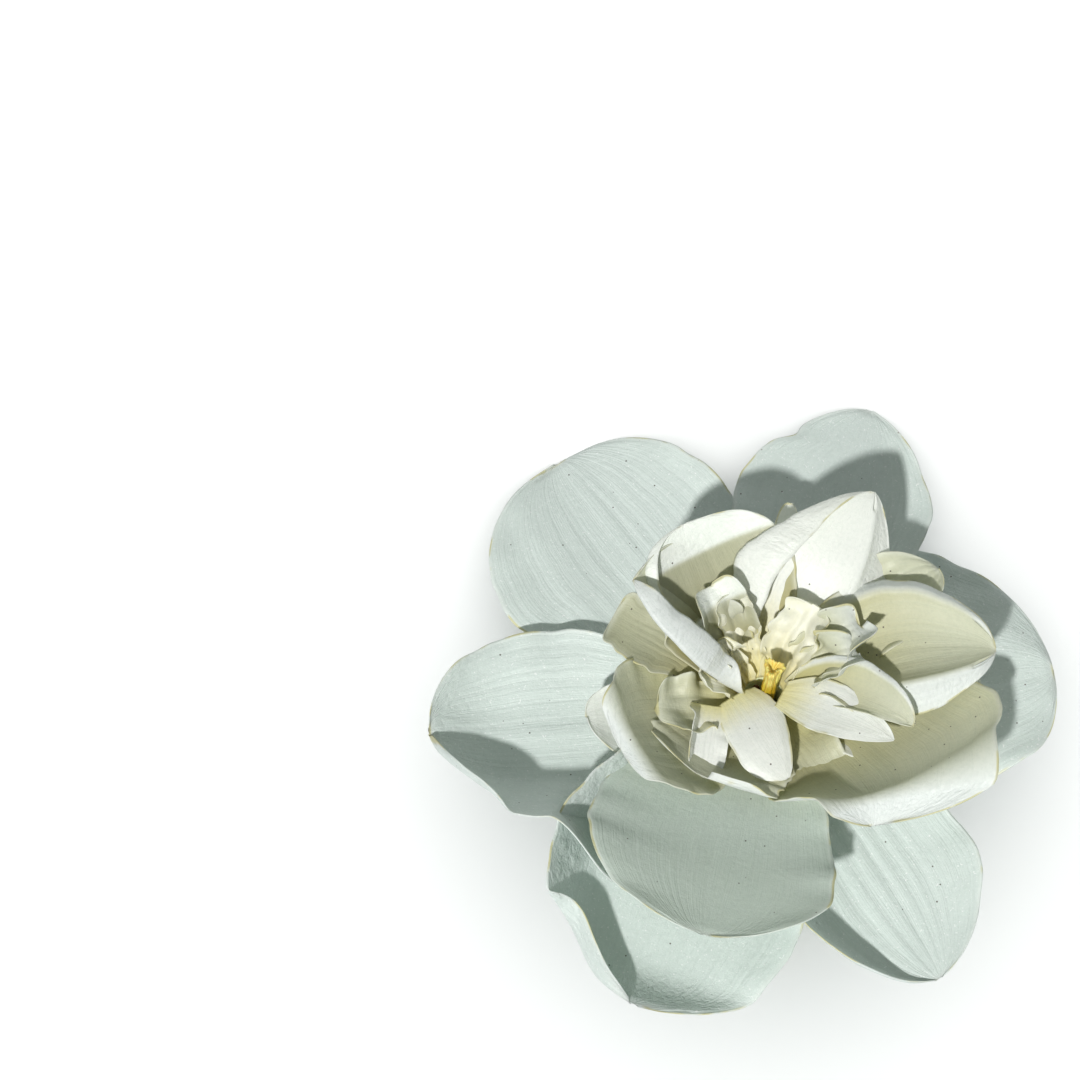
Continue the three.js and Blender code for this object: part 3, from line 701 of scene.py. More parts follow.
def petal_skin_tree():
    tree = bpy.data.node_groups.new("petal_skin", "GeometryNodeTree")
    petal_sockets(tree)
    given = add(tree, "NodeGroupInput").outputs
    full = calculate(tree, "MULTIPLY", given["Thickness"], MM)
    least = calculate(tree, "MULTIPLY", given["Rim thickness"], MM)
    thick = between(tree, named(tree, "rim"), 0.0, 1.0, full, least)
    half_thick = calculate(tree, "DIVIDE", thick, 2.0)
    lift = calculate(tree, "SUBTRACT", ridge_heights(tree, given), half_thick)
    normal = add(tree, "GeometryNodeInputNormal").outputs[0]
    shift = add(tree, "ShaderNodeVectorMath", {0: normal, "Scale": lift}, operation="SCALE").outputs[0]
    moved = add(tree, "GeometryNodeSetPosition", {"Geometry": given["Sheet"], "Offset": shift}).outputs[0]
    sizes = {"Mesh": moved, "Offset Scale": thick, "Individual": False}
    top = add(tree, "GeometryNodeExtrudeMesh", sizes, mode="FACES").outputs["Mesh"]
    under = add(tree, "GeometryNodeFlipFaces", {"Mesh": moved}).outputs[0]
    marks = {"Geometry": under, "Name": "outside", "Value": 1.0}
    under = add(tree, "GeometryNodeStoreNamedAttribute", marks, data_type="FLOAT", domain="FACE").outputs[0]
    both = add(tree, "GeometryNodeJoinGeometry")
    tree.links.new(top, both.inputs[0])
    tree.links.new(under, both.inputs[0])
    joined = {"Geometry": both.outputs[0], "Distance": WELD}
    closed = add(tree, "GeometryNodeMergeByDistance", joined).outputs[0]
    soft = add(tree, "GeometryNodeSetShadeSmooth", {"Geometry": closed}).outputs[0]
    real = add(tree, "GeometryNodeRealizeInstances", {"Geometry": soft}).outputs[0]
    paint = {"Geometry": real, "Material": given["Finish"]}
    painted = add(tree, "GeometryNodeSetMaterial", paint).outputs[0]
    add(tree, "NodeGroupOutput", {"Petal": painted})
    return tree


PETAL_SKIN = petal_skin_tree()
print("petal skin tree:", len(PETAL_SKIN.nodes), "nodes")

# %% Helpers that run a tree and keep its result


def new_object(name, mesh):
    piece = bpy.data.objects.new(name, mesh)
    bpy.context.scene.collection.objects.link(piece)
    return piece


def run_tree(piece, tree, **values):
    """Runs a Geometry Nodes tree on a piece and keeps the result as its plain mesh."""
    modifier = piece.modifiers.new(tree.name, "NODES")
    modifier.node_group = tree
    for socket in tree.interface.items_tree:
        key = socket.name.lower().replace(" ", "_")
        if socket.in_out == "INPUT" and key in values:
            modifier[socket.identifier] = values[key]
    bpy.context.view_layer.update()
    depsgraph = bpy.context.evaluated_depsgraph_get()
    result = bpy.data.meshes.new_from_object(piece.evaluated_get(depsgraph), depsgraph=depsgraph)
    piece.modifiers.clear()
    piece.data = result


def stand_for(piece, node):
    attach(piece, "root")
    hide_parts(node)


def placed(points):
    """Points of the upright bloom, in mm, to their place on the table, in metres."""
    return points.reshape(-1, 3) @ np.array(LEAN).T * MM + np.array(HEART)


def grid_faces(rows, columns):
    corner = np.arange((rows - 1) * columns).reshape(rows - 1, columns)[:, :-1].ravel()
    return np.stack([corner, corner + columns, corner + columns + 1, corner + 1], axis=1).tolist()


def grow(name, petal, seed, place=placed):
    points, measures = sheet(petal, seed)
    rows, columns = points.shape[:2]
    mesh = bpy.data.meshes.new("fine_" + name)
    mesh.from_pydata(place(points).tolist(), [], grid_faces(rows, columns))
    for measure, values in measures.items():
        layer = mesh.attributes.new(measure, "FLOAT", "POINT")
        layer.data.foreach_set("value", values.astype(np.float32).ravel())
    piece = new_object("fine_" + name, mesh)
    run_tree(piece, PETAL_SKIN, finish=FINISHES[petal["finish"]], seed=float(seed), **petal["skin"])
    stand_for(piece, name)
    print(name, "faces:", len(piece.data.polygons))


def grow_all(petals, usual, first_seed):
    for seed, (name, own) in enumerate(petals.items(), start=first_seed):
        grow(name, {**usual, **own}, seed)


# %% [markdown]
# ## Back petals
#
# Six broad petals lie behind the bloom in two rings of three, the inner three over the outer
# three. They are nearly flat, the coolest white of all, and deeply ribbed beside the midrib. The
# upper two droop until their tips touch the table.

# %% Grow the six back petals
BACK_PETALS = {
    "outer_tepal_upper_left": dict(
        azimuth=126, height=-1.2, length=57, width=(25, 20), blunt=(2.2, 2.2), rise=(0, -8.4),
        cup=(12, 10), pleats=(0.07, 7, 0.5), skin={"ridge_height": 0.13, "ridge_spacing": 1}),
    "outer_tepal_right": dict(
        azimuth=9, height=-1.2, length=44, width=(29, 18.5), widest=(0.45, 0.62), blunt=(1.9, 2.2),
        rise=(4, 0), cup=(10, 10), roll=((-22, 0.1, 0.5), NO_ROLL), flutter=1.2),
    "outer_tepal_lower_left": dict(
        azimuth=248.5, height=-1.2, length=53, width=(20, 31), widest=(0.6, 0.55), blunt=(2, 2.1),
        rise=(2, 0), cup=(12, 10), roll=(NO_ROLL, (62, 0.35, 0.65)), curl=(45, 0.76, 0.94)),
    "inner_tepal_left": dict(
        azimuth=187, height=0, length=52, width=(31.5, 18), widest=(0.55, 0.62), blunt=(2, 2.1),
        rise=(4, 0), cup=(12, 12), roll=((48, 0.2, 0.4), NO_ROLL), roll_grows=(0.36, 0.62),
        curl=(28, 0.68, 0.95)),
    "inner_tepal_top": dict(
        azimuth=72, height=0, length=57, width=(17.5, 17), widest=(0.64, 0.64), blunt=(1.5, 1.5),
        rise=(0, -5.8), cup=(14, 12), notches=((0.83, LEFT, 0.12, 0.03),)),
    "inner_tepal_lower_right": dict(
        azimuth=301, height=0, length=49, width=(17, 20), widest=(0.64, 0.64), blunt=(1.7, 1.7),
        rise=(4, 0), cup=(12, 12), roll=(NO_ROLL, (60, 0.45, 0.75)), pleats=(0.14, 6, 0.5),
        skin={"ridge_height": 0.17, "ridge_spacing": 1.2}),
}
RIBBED = {"ridge_height": 0.16, "ridge_spacing": 1.1}
BACK_SEED = 100

grow_all(BACK_PETALS, dict(TEPAL, skin=RIBBED), BACK_SEED)

# %% [markdown]
# ## Cup petals
#
# Inside the back petals stands a ring of cupped petals that makes the flower double. No two are
# alike: one hangs low in front, some fold over like a hood or a boat, and some roll their margin
# outwards.

# %% Grow the ring of cup petals
# the cup, bowl and low finishes of these petals carry painted shade
CUP_PETALS = {
    # its low finish is painted shade
    "lower_centre_petal": dict(
        azimuth=259, length=45.5, width=(18, 23.5), widest=(0.75, 0.5), blunt=(2.3, 2), rise=(16, 33),
        cup=(14, 16), flutter=0.8, finish="low_petal"),
    "left_cup_petal": dict(
        azimuth=209, height=3, length=25.5, width=(13, 15), rise=(10, 62), curl=(-95, 0.86, 0.95),
        cup=(30, 20), flutter=0.6, finish="cup_petal"),
    "lower_left_cup_petal": dict(
        azimuth=241, height=4, length=16, width=(12, 13), foot=0.5, blunt=(3, 3), rise=(15, 45),
        cup=(20, 20), ruffle=0.3, ragged=0.06, flutter=1, finish="cup_petal"),
    "lower_cup_petal": dict(
        azimuth=320, height=4, swing=-40, length=31, width=(27, 13.5), foot=0.5, widest=(0.65, 0.5),
        blunt=(2.2, 1.6), rise=(0, 68), curl=(-92, 0.82, 0.9), cup=(12, 28), flutter=0.4,
        finish="cup_petal"),
    "right_cup_petal": dict(
        azimuth=352, height=3, length=32, width=(12, 11), widest=(0.65, 0.65), blunt=(2.6, 2.6),
        rise=(8, 18)),
    "right_boat_petal": dict(
        azimuth=14, radius=5, height=5.5, swing=-20, length=35.5, width=(15, 13), foot=0.2,
        widest=(0.5, 0.62), blunt=(1.6, 1.8), rise=(30, 12), twist=(-6, -12), cup=(85, 70),
        roll=((-95, 0.76, 0.86), (-120, 0.5, 0.6)), roll_grows=(0.2, 0.5), finish="cup_petal"),
    "ruffled_right_petal": dict(
        azimuth=34, height=4, length=31.8, width=(9, 8), blunt=(2, 2.4), rise=(22, 15), cup=(40, 40),
        ruffle=1.8, waves=2.5, pleats=(0.5, 3, 1), finish="cup_petal"),
    "tall_hooded_petal": dict(
        azimuth=45, radius=5, height=6, turn=-10, swing=50, length=36, width=(26.5, 8.5), foot=0.68,
        widest=(0.42, 0.45), blunt=(1.6, 1.7), rise=(42, 8), cup=(50, 30),
        roll=((145, 0.68, 0.74), (-75, 0.05, 0.16)), roll_grows=(0, 0.02), flutter=0.3,
        pleats=NO_PLEATS, skin={"ridge_height": 0.2, "ridge_spacing": 1.6}),
    "upper_cup_petal": dict(
        azimuth=118, height=5, length=28.5, width=(14, 15), blunt=(2.6, 2.6), rise=(33, 44),
        cup=(60, 20), roll=((125, 0.78, 0.85), NO_ROLL), roll_grows=(0.4, 0.6), flutter=0.6,
        # painted sunlit band near the tip
        sunlit_tip=(0.78, 0.82), finish="bowl_petal"),
    "upper_left_cup_petal": dict(
        azimuth=143, radius=5, height=6, turn=5, length=26.5, width=(13.5, 13), widest=(0.5, 0.6),
        blunt=(1.9, 3), rise=(40, 40), twist=(30, 30), cup=(60, 60),
        roll=((100, 0.6, 0.66), NO_ROLL), finish="cup_petal"),
    "torn_left_petal": dict(
        azimuth=154, height=4, length=24, width=(6, 5.5), foot=0.6, widest=(0.88, 0.88), blunt=(5, 5),
        rise=(25, 12), cup=(10, 40), ragged=0.12, finish="bowl_petal"),
}
CUP_SEED = 200

grow_all(CUP_PETALS, PLAIN_PETAL, CUP_SEED)

# %% [markdown]
# ## Small inner petals
#
# The heart holds smaller petals and strips. Three petals lie in the sun like leaves in front of the
# style, and a fourth has one side folded up. Narrow strips peep out between the cup petals at the
# left and at the back.

# %% Grow the small inner petals
INNER_PETALS = {
    "small_curled_petal": dict(
        azimuth=82, height=3, length=29.8, width=(3, 3), foot=0.5, widest=(0.7, 0.7), blunt=(2.6, 2.6),
        rise=(15, 20), cup=(80, 80)),
    "left_outer_strip": dict(
        azimuth=190, length=25.8, width=(8, 6), blunt=(2.4, 2.4), rise=(15, 20), cup=(20, 20),
        ruffle=0.6),
    "curled_strip": dict(
        azimuth=206, length=22.8, width=(2.5, 2.5), foot=0.5, widest=(0.7, 0.7), blunt=(2.6, 2.6),
        rise=(10, 5), cup=(90, 90)),
    "front_lit_petal": dict(
        azimuth=192, radius=4.6, height=9, turn=109, length=17.5, width=(5, 5.8), foot=0.7,
        widest=(0.35, 0.6), blunt=(1.4, 2.1), rise=(26, -22), cup=(-10, -10), flutter=0.2, wander=0.2,
        pleats=NO_PLEATS, skin={"ridge_height": 0.03}),
    "right_leaf_petal": dict(
        azimuth=333, radius=3.4, height=10.6, length=21, width=(5.2, 4.5), foot=0.5,
        widest=(0.4, 0.45), blunt=(1.4, 1.4), rise=(30, -10), cup=(14, 14), flutter=0.2, wander=0.3,
        pleats=NO_PLEATS),
    # its cup finish carries painted shade inside
    "right_rolled_petal": dict(
        azimuth=350, radius=4.4, height=8, turn=-4, swing=-17, length=23.5, width=(8, 2.2),
        widest=(0.45, 0.5), blunt=(1.7, 1.7), rise=(38, 4), twist=(6, 6), cup=(85, 60),
        roll=((-75, 0.82, 0.93), NO_ROLL), pleats=NO_PLEATS, finish="cup_petal"),
    "folded_left_petal": dict(
        azimuth=200, radius=8.5, height=9, turn=62, length=12, width=(3.2, 5), foot=0.8, blunt=(4, 3),
        rise=(15, -25), cup=(10, 10), roll=(NO_ROLL, (75, 0.35, 0.6)), ruffle=0.2, wander=0.2),
}
INNER_SEED = CUP_SEED + len(CUP_PETALS)

grow_all(INNER_PETALS, PLAIN_PETAL, INNER_SEED)

# %% [markdown]
# ## Crown pieces
#
# In a single daffodil the crown is one trumpet. Here it is torn into short frilled lobes that stand
# between the inner petals. They are a warm cream, and their margins wave the most. The bowl lobes and
# the left, right and lower frills have painted shade instead, from their cup or bowl finish.

# %% Grow the crown pieces
CROWN_PIECES = {
    "left_frill": dict(
        azimuth=190, radius=5, height=5, length=14, width=(7, 5), blunt=(2.8, 2.8), rise=(26, 22),
        cup=(40, 50), ruffle=1.1, waves=2.5, flutter=1.2, pleats=(0.15, 2, 1), finish="cup_petal"),
    "small_crown_lobe": dict(
        azimuth=172, radius=4.5, height=6.5, length=9, width=(3.5, 3.5), foot=0.5, blunt=(2.8, 2.8),
        rise=(70, 20), cup=(50, 80), ruffle=0.5),
    "bowl_lobe_back": dict(
        azimuth=120, radius=5, height=6, length=18, width=(6, 5.5), foot=0.3, widest=(0.75, 0.75),
        blunt=(3, 3), rise=(50, 58), curl=(-50, 0.7, 1), cup=(60, 70), ruffle=1, waves=2.5, wander=0.6,
        # painted sunlit band near the tip
        pleats=(0.3, 2, 1), sunlit_tip=(0.78, 0.85), finish="bowl_petal"),
    "bowl_lobe_left": dict(
        azimuth=134, radius=5, height=6, length=13.5, width=(7, 6), widest=(0.75, 0.75), blunt=(3, 3),
        rise=(55, 35), cup=(40, 50), curl=(-50, 0.7, 1), ruffle=1.3, waves=3, flutter=1.2,
        pleats=(0.4, 3, 1), finish="bowl_petal"),
    "crown_frill": dict(
        azimuth=112, radius=3.5, height=6.5, length=16, width=(4.5, 4), foot=0.6, widest=(0.8, 0.8),
        blunt=(4, 4), rise=(48, 38), cup=(70, 80), ruffle=1.4, waves=4, flutter=1.3, ragged=0.12,
        pleats=(0.4, 2, 1)),
    "crown_frill_inner": dict(
        azimuth=140, radius=3.5, height=6.5, length=10.5, width=(3, 3), foot=0.6, widest=(0.8, 0.8),
        blunt=(4, 4), rise=(60, 45), cup=(60, 90), ruffle=1, waves=3, flutter=1.2, ragged=0.12,
        pleats=(0.4, 2, 1)),
    "inner_lit_petal": dict(
        azimuth=54, radius=3.5, height=6.5, length=16, width=(5, 5), foot=0.6, widest=(0.75, 0.75),
        blunt=(3.4, 3.4), rise=(60, 34), cup=(60, 50), ruffle=1.3, waves=3, flutter=1.4, ragged=0.1,
        pleats=(0.35, 2, 1)),
    "right_frill_upper": dict(
        azimuth=27, radius=5, height=6, length=17.5, width=(5.5, 6), widest=(0.78, 0.78), blunt=(3, 3),
        rise=(50, 38), cup=(60, 70), ruffle=1.6, waves=2.5, flutter=1.4, ragged=0.08,
        curl=(-60, 0.8, 1), pleats=(0.4, 2, 1), finish="cup_petal"),
    "right_frill_lower": dict(
        azimuth=13, radius=5, height=6.5, length=15.5, width=(5, 4.5), widest=(0.75, 0.75),
        blunt=(3, 3), rise=(56, 38), cup=(60, 70), ruffle=1.5, waves=2.5, flutter=1.4, ragged=0.08,
        curl=(-60, 0.8, 1), pleats=(0.4, 2, 1), finish="cup_petal"),
    "lower_frill": dict(
        azimuth=300, radius=4.5, height=5, length=16, width=(7, 6), blunt=(2.6, 2.6), rise=(5, 10),
        cup=(20, 20), ruffle=0.6, finish="cup_petal"),
}
THIN = {"thickness": 0.35, "rim_thickness": 0.12}
CROWN_SEED = 300

grow_all(CROWN_PIECES, dict(CROWN, skin=THIN), CROWN_SEED)

# %% [markdown]
# ## Round pieces
#
# The tube, the style, the stamens and the stem are round, so each is a row of rings with a skin
# drawn over them. The rings need not be true circles: the style is fluted and the stem is ribbed,
# because their radius changes with the angle. Every point also keeps how far along the piece it is
# and at which angle, for the materials.

# %% Helpers for the shape of round pieces
SMOOTHING = 5  # neighbouring rings that are averaged
SMOOTHING_PASSES = 3


def loft(name, rings, finish):
    """A closed mesh through rings of points, in metres. It starts and ends with a flat face."""
    count, around = rings.shape[:2]
    faces = [tuple(range(around - 1, -1, -1))]
    for ring in range(count - 1):
        for corner in range(around):
            after = (corner + 1) % around
            low, high = ring * around, (ring + 1) * around
            faces.append((low + corner, low + after, high + after, high + corner))
    faces.append(tuple(range((count - 1) * around, count * around)))
    mesh = bpy.data.meshes.new(name)
    mesh.from_pydata(rings.reshape(-1, 3).tolist(), [], faces)
    mesh.materials.append(finish)
    mesh.polygons.foreach_set("use_smooth", [len(face) == 4 for face in faces])
    along = np.repeat(np.linspace(0, 1, count), around)
    turn = np.tile(np.linspace(0, 2 * np.pi, around, endpoint=False), count)
    measures = {"along": along, "sideways": np.cos(turn), "onwards": np.sin(turn)}
    for measure, values in measures.items():
        mesh.attributes.new(measure, "FLOAT", "POINT").data.foreach_set("value", values)
    return mesh


def rings_of(profile, shape, count, around=120):
    """Level rings through a profile of (radius, height); shape(angles, share) scales each radius."""
    profile = np.array(profile, dtype=float)
    lengths = np.hypot(*np.diff(profile, axis=0).T)
    walked = np.hstack([0, np.cumsum(lengths)])
    places = np.linspace(0, walked[-1], count)
    radii = np.interp(places, walked, profile[:, 0])
    heights = np.interp(places, walked, profile[:, 1])
    window = np.ones(SMOOTHING) / SMOOTHING
    inner = slice(SMOOTHING // 2, -(SMOOTHING // 2))
    for _ in range(SMOOTHING_PASSES):
        radii[inner] = np.convolve(radii, window, "valid")
        heights[inner] = np.convolve(heights, window, "valid")
    angles = np.linspace(0, 2 * np.pi, around, endpoint=False)
    share = (places / walked[-1])[:, None]
    radius = radii[:, None] * shape(angles[None], share)
    level = heights[:, None] + 0 * radius
    return np.stack([radius * np.cos(angles), radius * np.sin(angles), level], axis=-1)


def waves_round(angles, waves):
    """The sum of waves, each given as its height, its number round the piece and its shift."""
    return sum(height * np.cos(number * angles + shift) for height, number, shift in waves)


def placed_rings(rings):
    return placed(rings).reshape(rings.shape)


def make_round(name, rings, finish):
    """A round piece that stands for the measuring model's piece of this name."""
    mesh = loft("fine_" + name, rings, finish)
    stand_for(new_object("fine_" + name, mesh), name)
    print(name, "faces:", len(mesh.polygons))


# %% Helpers for the finish of round pieces
SOAK_RADIUS = (1, 0.8, 0.4)  # red light goes furthest into green flesh
SOAK_DEPTH = 0.8 * MM


def round_finish(name, paint, roughness, soak):
    """A material whose colour and relief come from paint(tree, along, sideways, onwards)."""
    material = bpy.data.materials.new(name)
    material.use_nodes = True
    tree = material.node_tree
    shader = tree.nodes["Principled BSDF"]
    measures = [attribute(tree, measure) for measure in ("along", "sideways", "onwards")]
    colour, relief, depth = paint(tree, *measures)
    bump = add(tree, "ShaderNodeBump", {"Height": relief, "Distance": depth}).outputs[0]
    tree.links.new(colour, shader.inputs["Base Color"])
    tree.links.new(bump, shader.inputs["Normal"])
    shader.inputs["Roughness"].default_value = roughness
    shader.inputs["Subsurface Weight"].default_value = soak
    shader.inputs["Subsurface Radius"].default_value = SOAK_RADIUS
    shader.inputs["Subsurface Scale"].default_value = SOAK_DEPTH
    return material


def lines_round(tree, sideways, onwards, tightness, along=0.0):
    """Noise coordinates for lines that run along a round piece."""
    one_way = calculate(tree, "MULTIPLY", sideways, tightness)
    other_way = calculate(tree, "MULTIPLY", onwards, tightness)
    return vector_of(tree, one_way, other_way, along)


def banded(tree, along, colour, bands):
    """A colour that passes into the next ones, each between two places along the piece."""
    for start, end, following in bands:
        colour = blend_colours(tree, between(tree, along, start, end), colour, following)
    return colour


# %% [markdown]
# ## Perianth tube
#
# All petals join in a short tube of pale green flesh. Its profile goes up the outside, over the
# rounded rim that carries the petals, and down into the hollow from which the style rises.

# %% Make the perianth tube
TUBE_PROFILE = [
    (2.3, -11), (2.6, -8), (3.6, -4), (4.9, -1.5), (5, 2), (4.7, 5.2), (4.3, 5.9), (3.6, 5.9), (3.1, 5.2),
    (2.6, 2), (2.2, -6)]
TUBE_RINGS = 90
TUBE_RIBS = [(0.02, 6, 0)]
TUBE_GREEN = (0.42, 0.52, 0.2, 1)
TUBE_BANDS = [(0.1, 0.6, (0.72, 0.76, 0.46, 1))]
TUBE_STREAK = (0.5, 0.6, 0.3, 1)
TUBE_RELIEF = 0.2 * MM


def tube_paint(tree, along, sideways, onwards):
    streaks = noise(tree, lines_round(tree, sideways, onwards, 9.0), detail=3.0)
    colour = banded(tree, along, TUBE_GREEN, TUBE_BANDS)
    shade = between(tree, streaks, 0.4, 0.6, 0.0, 0.25)
    return blend_colours(tree, shade, colour, TUBE_STREAK), streaks, TUBE_RELIEF


def slightly_ribbed(angles, share):
    return 1 + waves_round(angles, TUBE_RIBS) * (1 - share)


tube_rings = placed_rings(rings_of(TUBE_PROFILE, slightly_ribbed, TUBE_RINGS))
make_round("perianth_tube", tube_rings, round_finish("tube", tube_paint, roughness=0.45, soak=0.3))

# %% [markdown]
# ## Style and stigma
#
# The style is the slim fluted column in the heart. Its end flares into the stigma, three frilled
# lobes that roll outwards round a dimple. One row of rings makes both: the radius is fluted on the
# column and three-lobed at the end. It leans a little, towards the upper right.

# %% Make the style
STYLE_PROFILE = [
    (1.1, -5.6), (1.15, 2), (1.2, 9), (1.1, 14.5), (1.2, 15.4), (1.45, 16), (1.65, 16.6), (1.6, 17.3),
    (1.3, 17.5), (0.9, 17.1), (0.5, 16.2), (0.2, 15.8)]
STYLE_TILT = Matrix.Rotation(math.radians(6), 3, "Y") @ Matrix.Rotation(math.radians(-3), 3, "X")
STYLE_RINGS = 110
STIGMA_STARTS = (0.66, 0.74)  # the shares of the profile between which the column turns into lobes
FLUTES = [(0.08, 9, 0), (0.03, 3, 0)]
LOBES = [(0.26, 3, -0.5), (0.07, 16, 0), (0.04, 29, 0)]
STYLE_DARK_FOOT = (0.1, 0.03, 0.01, 1)
STYLE_BANDS = [
    (0.2, 0.34, (0.42, 0.24, 0.02, 1)),
    (0.32, 0.6, (0.55, 0.42, 0.03, 1)),
    (0.64, 0.74, (0.8, 0.7, 0.2, 1)),
]
STYLE_STREAK = (0.7, 0.4, 0.05, 1)
STYLE_RELIEF = 0.15 * MM


def fluted_and_lobed(angles, share):
    end = between_places(share, *STIGMA_STARTS)
    return 1 + (1 - end) * waves_round(angles, FLUTES) + end * waves_round(angles, LOBES)


def style_paint(tree, along, sideways, onwards):
    streaks = noise(tree, lines_round(tree, sideways, onwards, 4.0, along), detail=3.0)
    colour = banded(tree, along, STYLE_DARK_FOOT, STYLE_BANDS)
    shade = between(tree, streaks, 0.42, 0.62, 0.0, 0.55)
    return blend_colours(tree, shade, colour, STYLE_STREAK, "MULTIPLY"), streaks, STYLE_RELIEF


style_rings = rings_of(STYLE_PROFILE, fluted_and_lobed, STYLE_RINGS) @ np.array(STYLE_TILT).T
style_finish = round_finish("style", style_paint, roughness=0.4, soak=0.3)
make_round("style_and_stigma", placed_rings(style_rings), style_finish)

# %% [markdown]
# ## Stamens
#
# Most stamens of a double flower have turned into petals. Three dried ones are left round the
# style: a thread and a shrunken brown anther, which together make the dark spot at its foot.

# %% Make the stamens
STAMEN_ANGLES = (124, 214, 304)  # degrees round the style
STAMEN_FROM_AXIS = 2
STAMEN_PROFILE = [(0.28, 0), (0.3, 4.2), (0.45, 4.6), (0.56, 5.6), (0.5, 6.6), (0.3, 7.1), (0.1, 7.2)]
STAMEN_RINGS = 40
STAMEN_AROUND = 24
ANTHER_STARTS = (0.5, 0.6)  # the shares of the profile between which the thread turns into the anther
ANTHER_TURNS = 20  # radians by which its hollows wind round it in the length of the profile
STAMEN_THREAD = (0.5, 0.42, 0.12, 1)
STAMEN_BANDS = [(0.4, 0.6, (0.09, 0.035, 0.01, 1))]
STAMEN_CRUMBS = (0.3, 0.13, 0.03, 1)
STAMEN_RELIEF = 0.1 * MM


def shrunken(angles, share):
    hollows = waves_round(angles, [(0.16, 2, 0), (0.1, 5, ANTHER_TURNS * share)])
    return 1 + between_places(share, *ANTHER_STARTS) * hollows


def stamen_paint(tree, along, sideways, onwards):
    lines = vector_of(tree, sideways, onwards, calculate(tree, "MULTIPLY", along, 20.0))
    crumbs = noise(tree, lines, scale=2.0, detail=4.0)
    colour = banded(tree, along, STAMEN_THREAD, STAMEN_BANDS)
    shade = between(tree, crumbs, 0.5, 0.7)
    return blend_colours(tree, shade, colour, STAMEN_CRUMBS), crumbs, STAMEN_RELIEF


stamen_finish = round_finish("stamen", stamen_paint, roughness=0.7, soak=0.0)
for number, degrees in enumerate(STAMEN_ANGLES, start=1):
    stamen_rings = rings_of(STAMEN_PROFILE, shrunken, STAMEN_RINGS, STAMEN_AROUND)
    stamen_rings[..., 0] += STAMEN_FROM_AXIS * math.cos(math.radians(degrees))
    stamen_rings[..., 1] += STAMEN_FROM_AXIS * math.sin(math.radians(degrees))
    make_round(f"stamen_{number}", placed_rings(stamen_rings), stamen_finish)

# %% [markdown]
# ## Ovary and stem
#
# Under the tube sits the ovary, a green swelling with three faces. Its short stalk bends forwards
# to the thick stem, which was cut off and lies on the table. The stem is ribbed and hollow, so the
# rings turn inwards at the cut and run back inside it. Each ring stands square to the bent path.

# %% Make the ovary and the stem
STEM_START = 11.4  # below the heart, along the bloom's axis
BEND_RADIUS = 9
BEND = math.pi / 2 - FACE_LEAN
STEM_PROFILE = [
    (2.2, 0), (3, 2), (3.4, 5), (2.8, 8), (1.9, 10), (1.9, 15), (2.7, 17), (3.1, 20), (3.2, 24),
    (3.2, 37.8), (3, 38), (2.3, 38), (2.1, 37.6), (1.9, 30)]
STEM_RINGS = 230
STEM_AROUND = 96
PROFILE_LENGTH = 53.5  # mm walked along the profile, in, out and back inside the cut
OVARY_BEGINS = (0, 2)  # this and the next two are in mm walked along the profile
OVARY_ENDS = (9, 7)
STEM_BEGINS = (16, 19)
OVARY_FACES = [(0.07, 3, 0)]
STEM_RIBS = [(0.02, 14, 0), (0.012, 9, 1)]
SLIMMER = 0.03  # share of the radius by which both are slimmer than the profile
STEM_GREENS = ((0.13, 0.25, 0.06, 1), (0.26, 0.4, 0.11, 1))
STEM_WAX = (0.5, 0.6, 0.45, 1)
WAX_PER_METRE = 600
STEM_CUT = [(0.715, 0.73, (0.66, 0.74, 0.42, 1))]
STEM_RELIEF = 0.2 * MM


def three_faced_and_ribbed(angles, share):
    walked = share * PROFILE_LENGTH
    ovary = between_places(walked, *OVARY_BEGINS) * between_places(walked, *OVARY_ENDS)
    stem = between_places(walked, *STEM_BEGINS)
    faces = waves_round(angles, OVARY_FACES) - SLIMMER
    ribs = waves_round(angles, STEM_RIBS) - SLIMMER
    return 1 + ovary * faces + stem * ribs


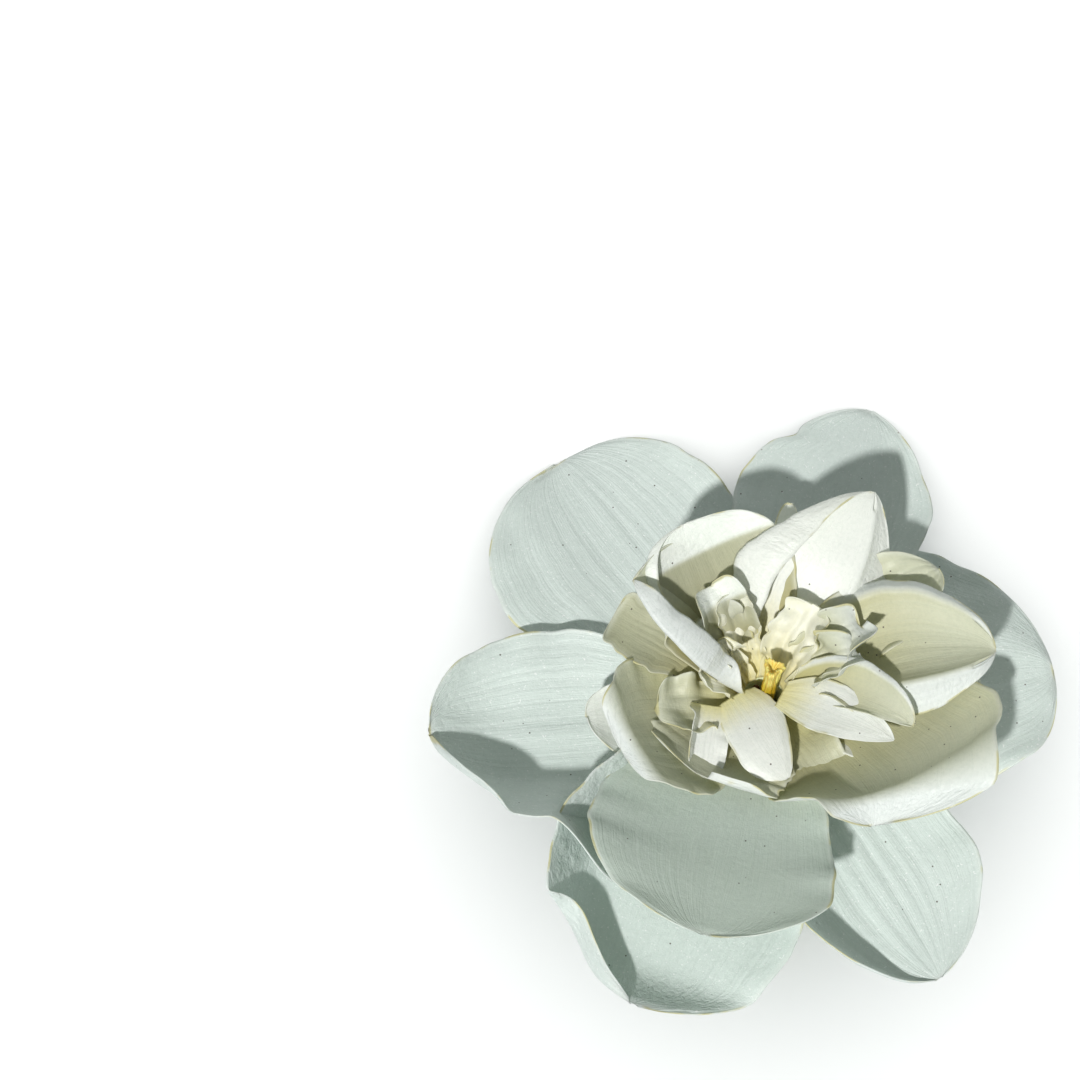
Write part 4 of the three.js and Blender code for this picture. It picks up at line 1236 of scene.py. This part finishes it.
def laid_along_path(rings):
    """Level rings, their height read as the way along the path from the tube to the cut."""
    walked = rings[..., 2]
    bent = np.clip(walked, 0, BEND_RADIUS * BEND)
    slope = BEND - bent / BEND_RADIUS
    y = -BEND_RADIUS * (math.sin(BEND) - np.sin(slope)) - (walked - bent)
    z = -BEND_RADIUS * (np.cos(slope) - math.cos(BEND))
    out = rings[..., 1]
    path = np.stack([rings[..., 0], y - out * np.sin(slope), z + out * np.cos(slope)], axis=-1)
    start = np.array(LEAN @ Vector((0, 0, -STEM_START)))
    return (path + start) * MM + np.array(HEART)


def stem_paint(tree, along, sideways, onwards):
    slow = calculate(tree, "MULTIPLY", along, 3.0)
    fibres = noise(tree, lines_round(tree, sideways, onwards, 12.0, slow), detail=4.0)
    wax = noise(tree, object_place(tree), WAX_PER_METRE, detail=3.0)
    green = blend_colours(tree, between(tree, fibres, 0.35, 0.65), *STEM_GREENS)
    green = blend_colours(tree, between(tree, wax, 0.5, 0.7, 0.0, 0.3), green, STEM_WAX)
    return banded(tree, along, green, STEM_CUT), fibres, STEM_RELIEF


stem_rings = laid_along_path(rings_of(STEM_PROFILE, three_faced_and_ribbed, STEM_RINGS, STEM_AROUND))
make_round("ovary_and_stem", stem_rings, round_finish("stem", stem_paint, roughness=0.45, soak=0.15))

# %% [markdown]
# ## Spathe
#
# Before it opened, the bud was wrapped in a papery sheath. It is left beside the bend, dry, brown
# and thin enough for light to pass. It has the shape of a petal, so the same rule and the same tree
# grow it. Its own finish has fine brown ribs.

# %% Make the spathe
SPATHE = dict(
    PLAIN_PETAL, azimuth=285, radius=18.3, height=3.2, turn=146, length=20, width=(4.5, 4.5), foot=0.5,
    widest=(0.45, 0.45), blunt=(1.5, 1.5), rise=(-8, -2), cup=(60, 40), flutter=0.3, wander=0.2,
    skin={"thickness": 0.3, "rim_thickness": 0.1, "ridge_height": 0.12, "ridge_spacing": 0.7},
    finish="spathe")
SPATHE_SEED = 400
HEIGHT_OF_HEART = 20.4  # above the table

FINISHES["spathe"] = petal_finish(
    "spathe", foot=(0.42, 0.34, 0.14, 1), blade=(0.56, 0.4, 0.22, 1), foot_reach=0.5, soak=0.4)


def beside_the_stem(points):
    """Like placed, but measured from the table below the heart, and without the lean."""
    under_heart = np.array(HEART) - np.array((0, 0, HEIGHT_OF_HEART * MM))
    return points.reshape(-1, 3) * MM + under_heart


grow("spathe", SPATHE, SPATHE_SEED, beside_the_stem)
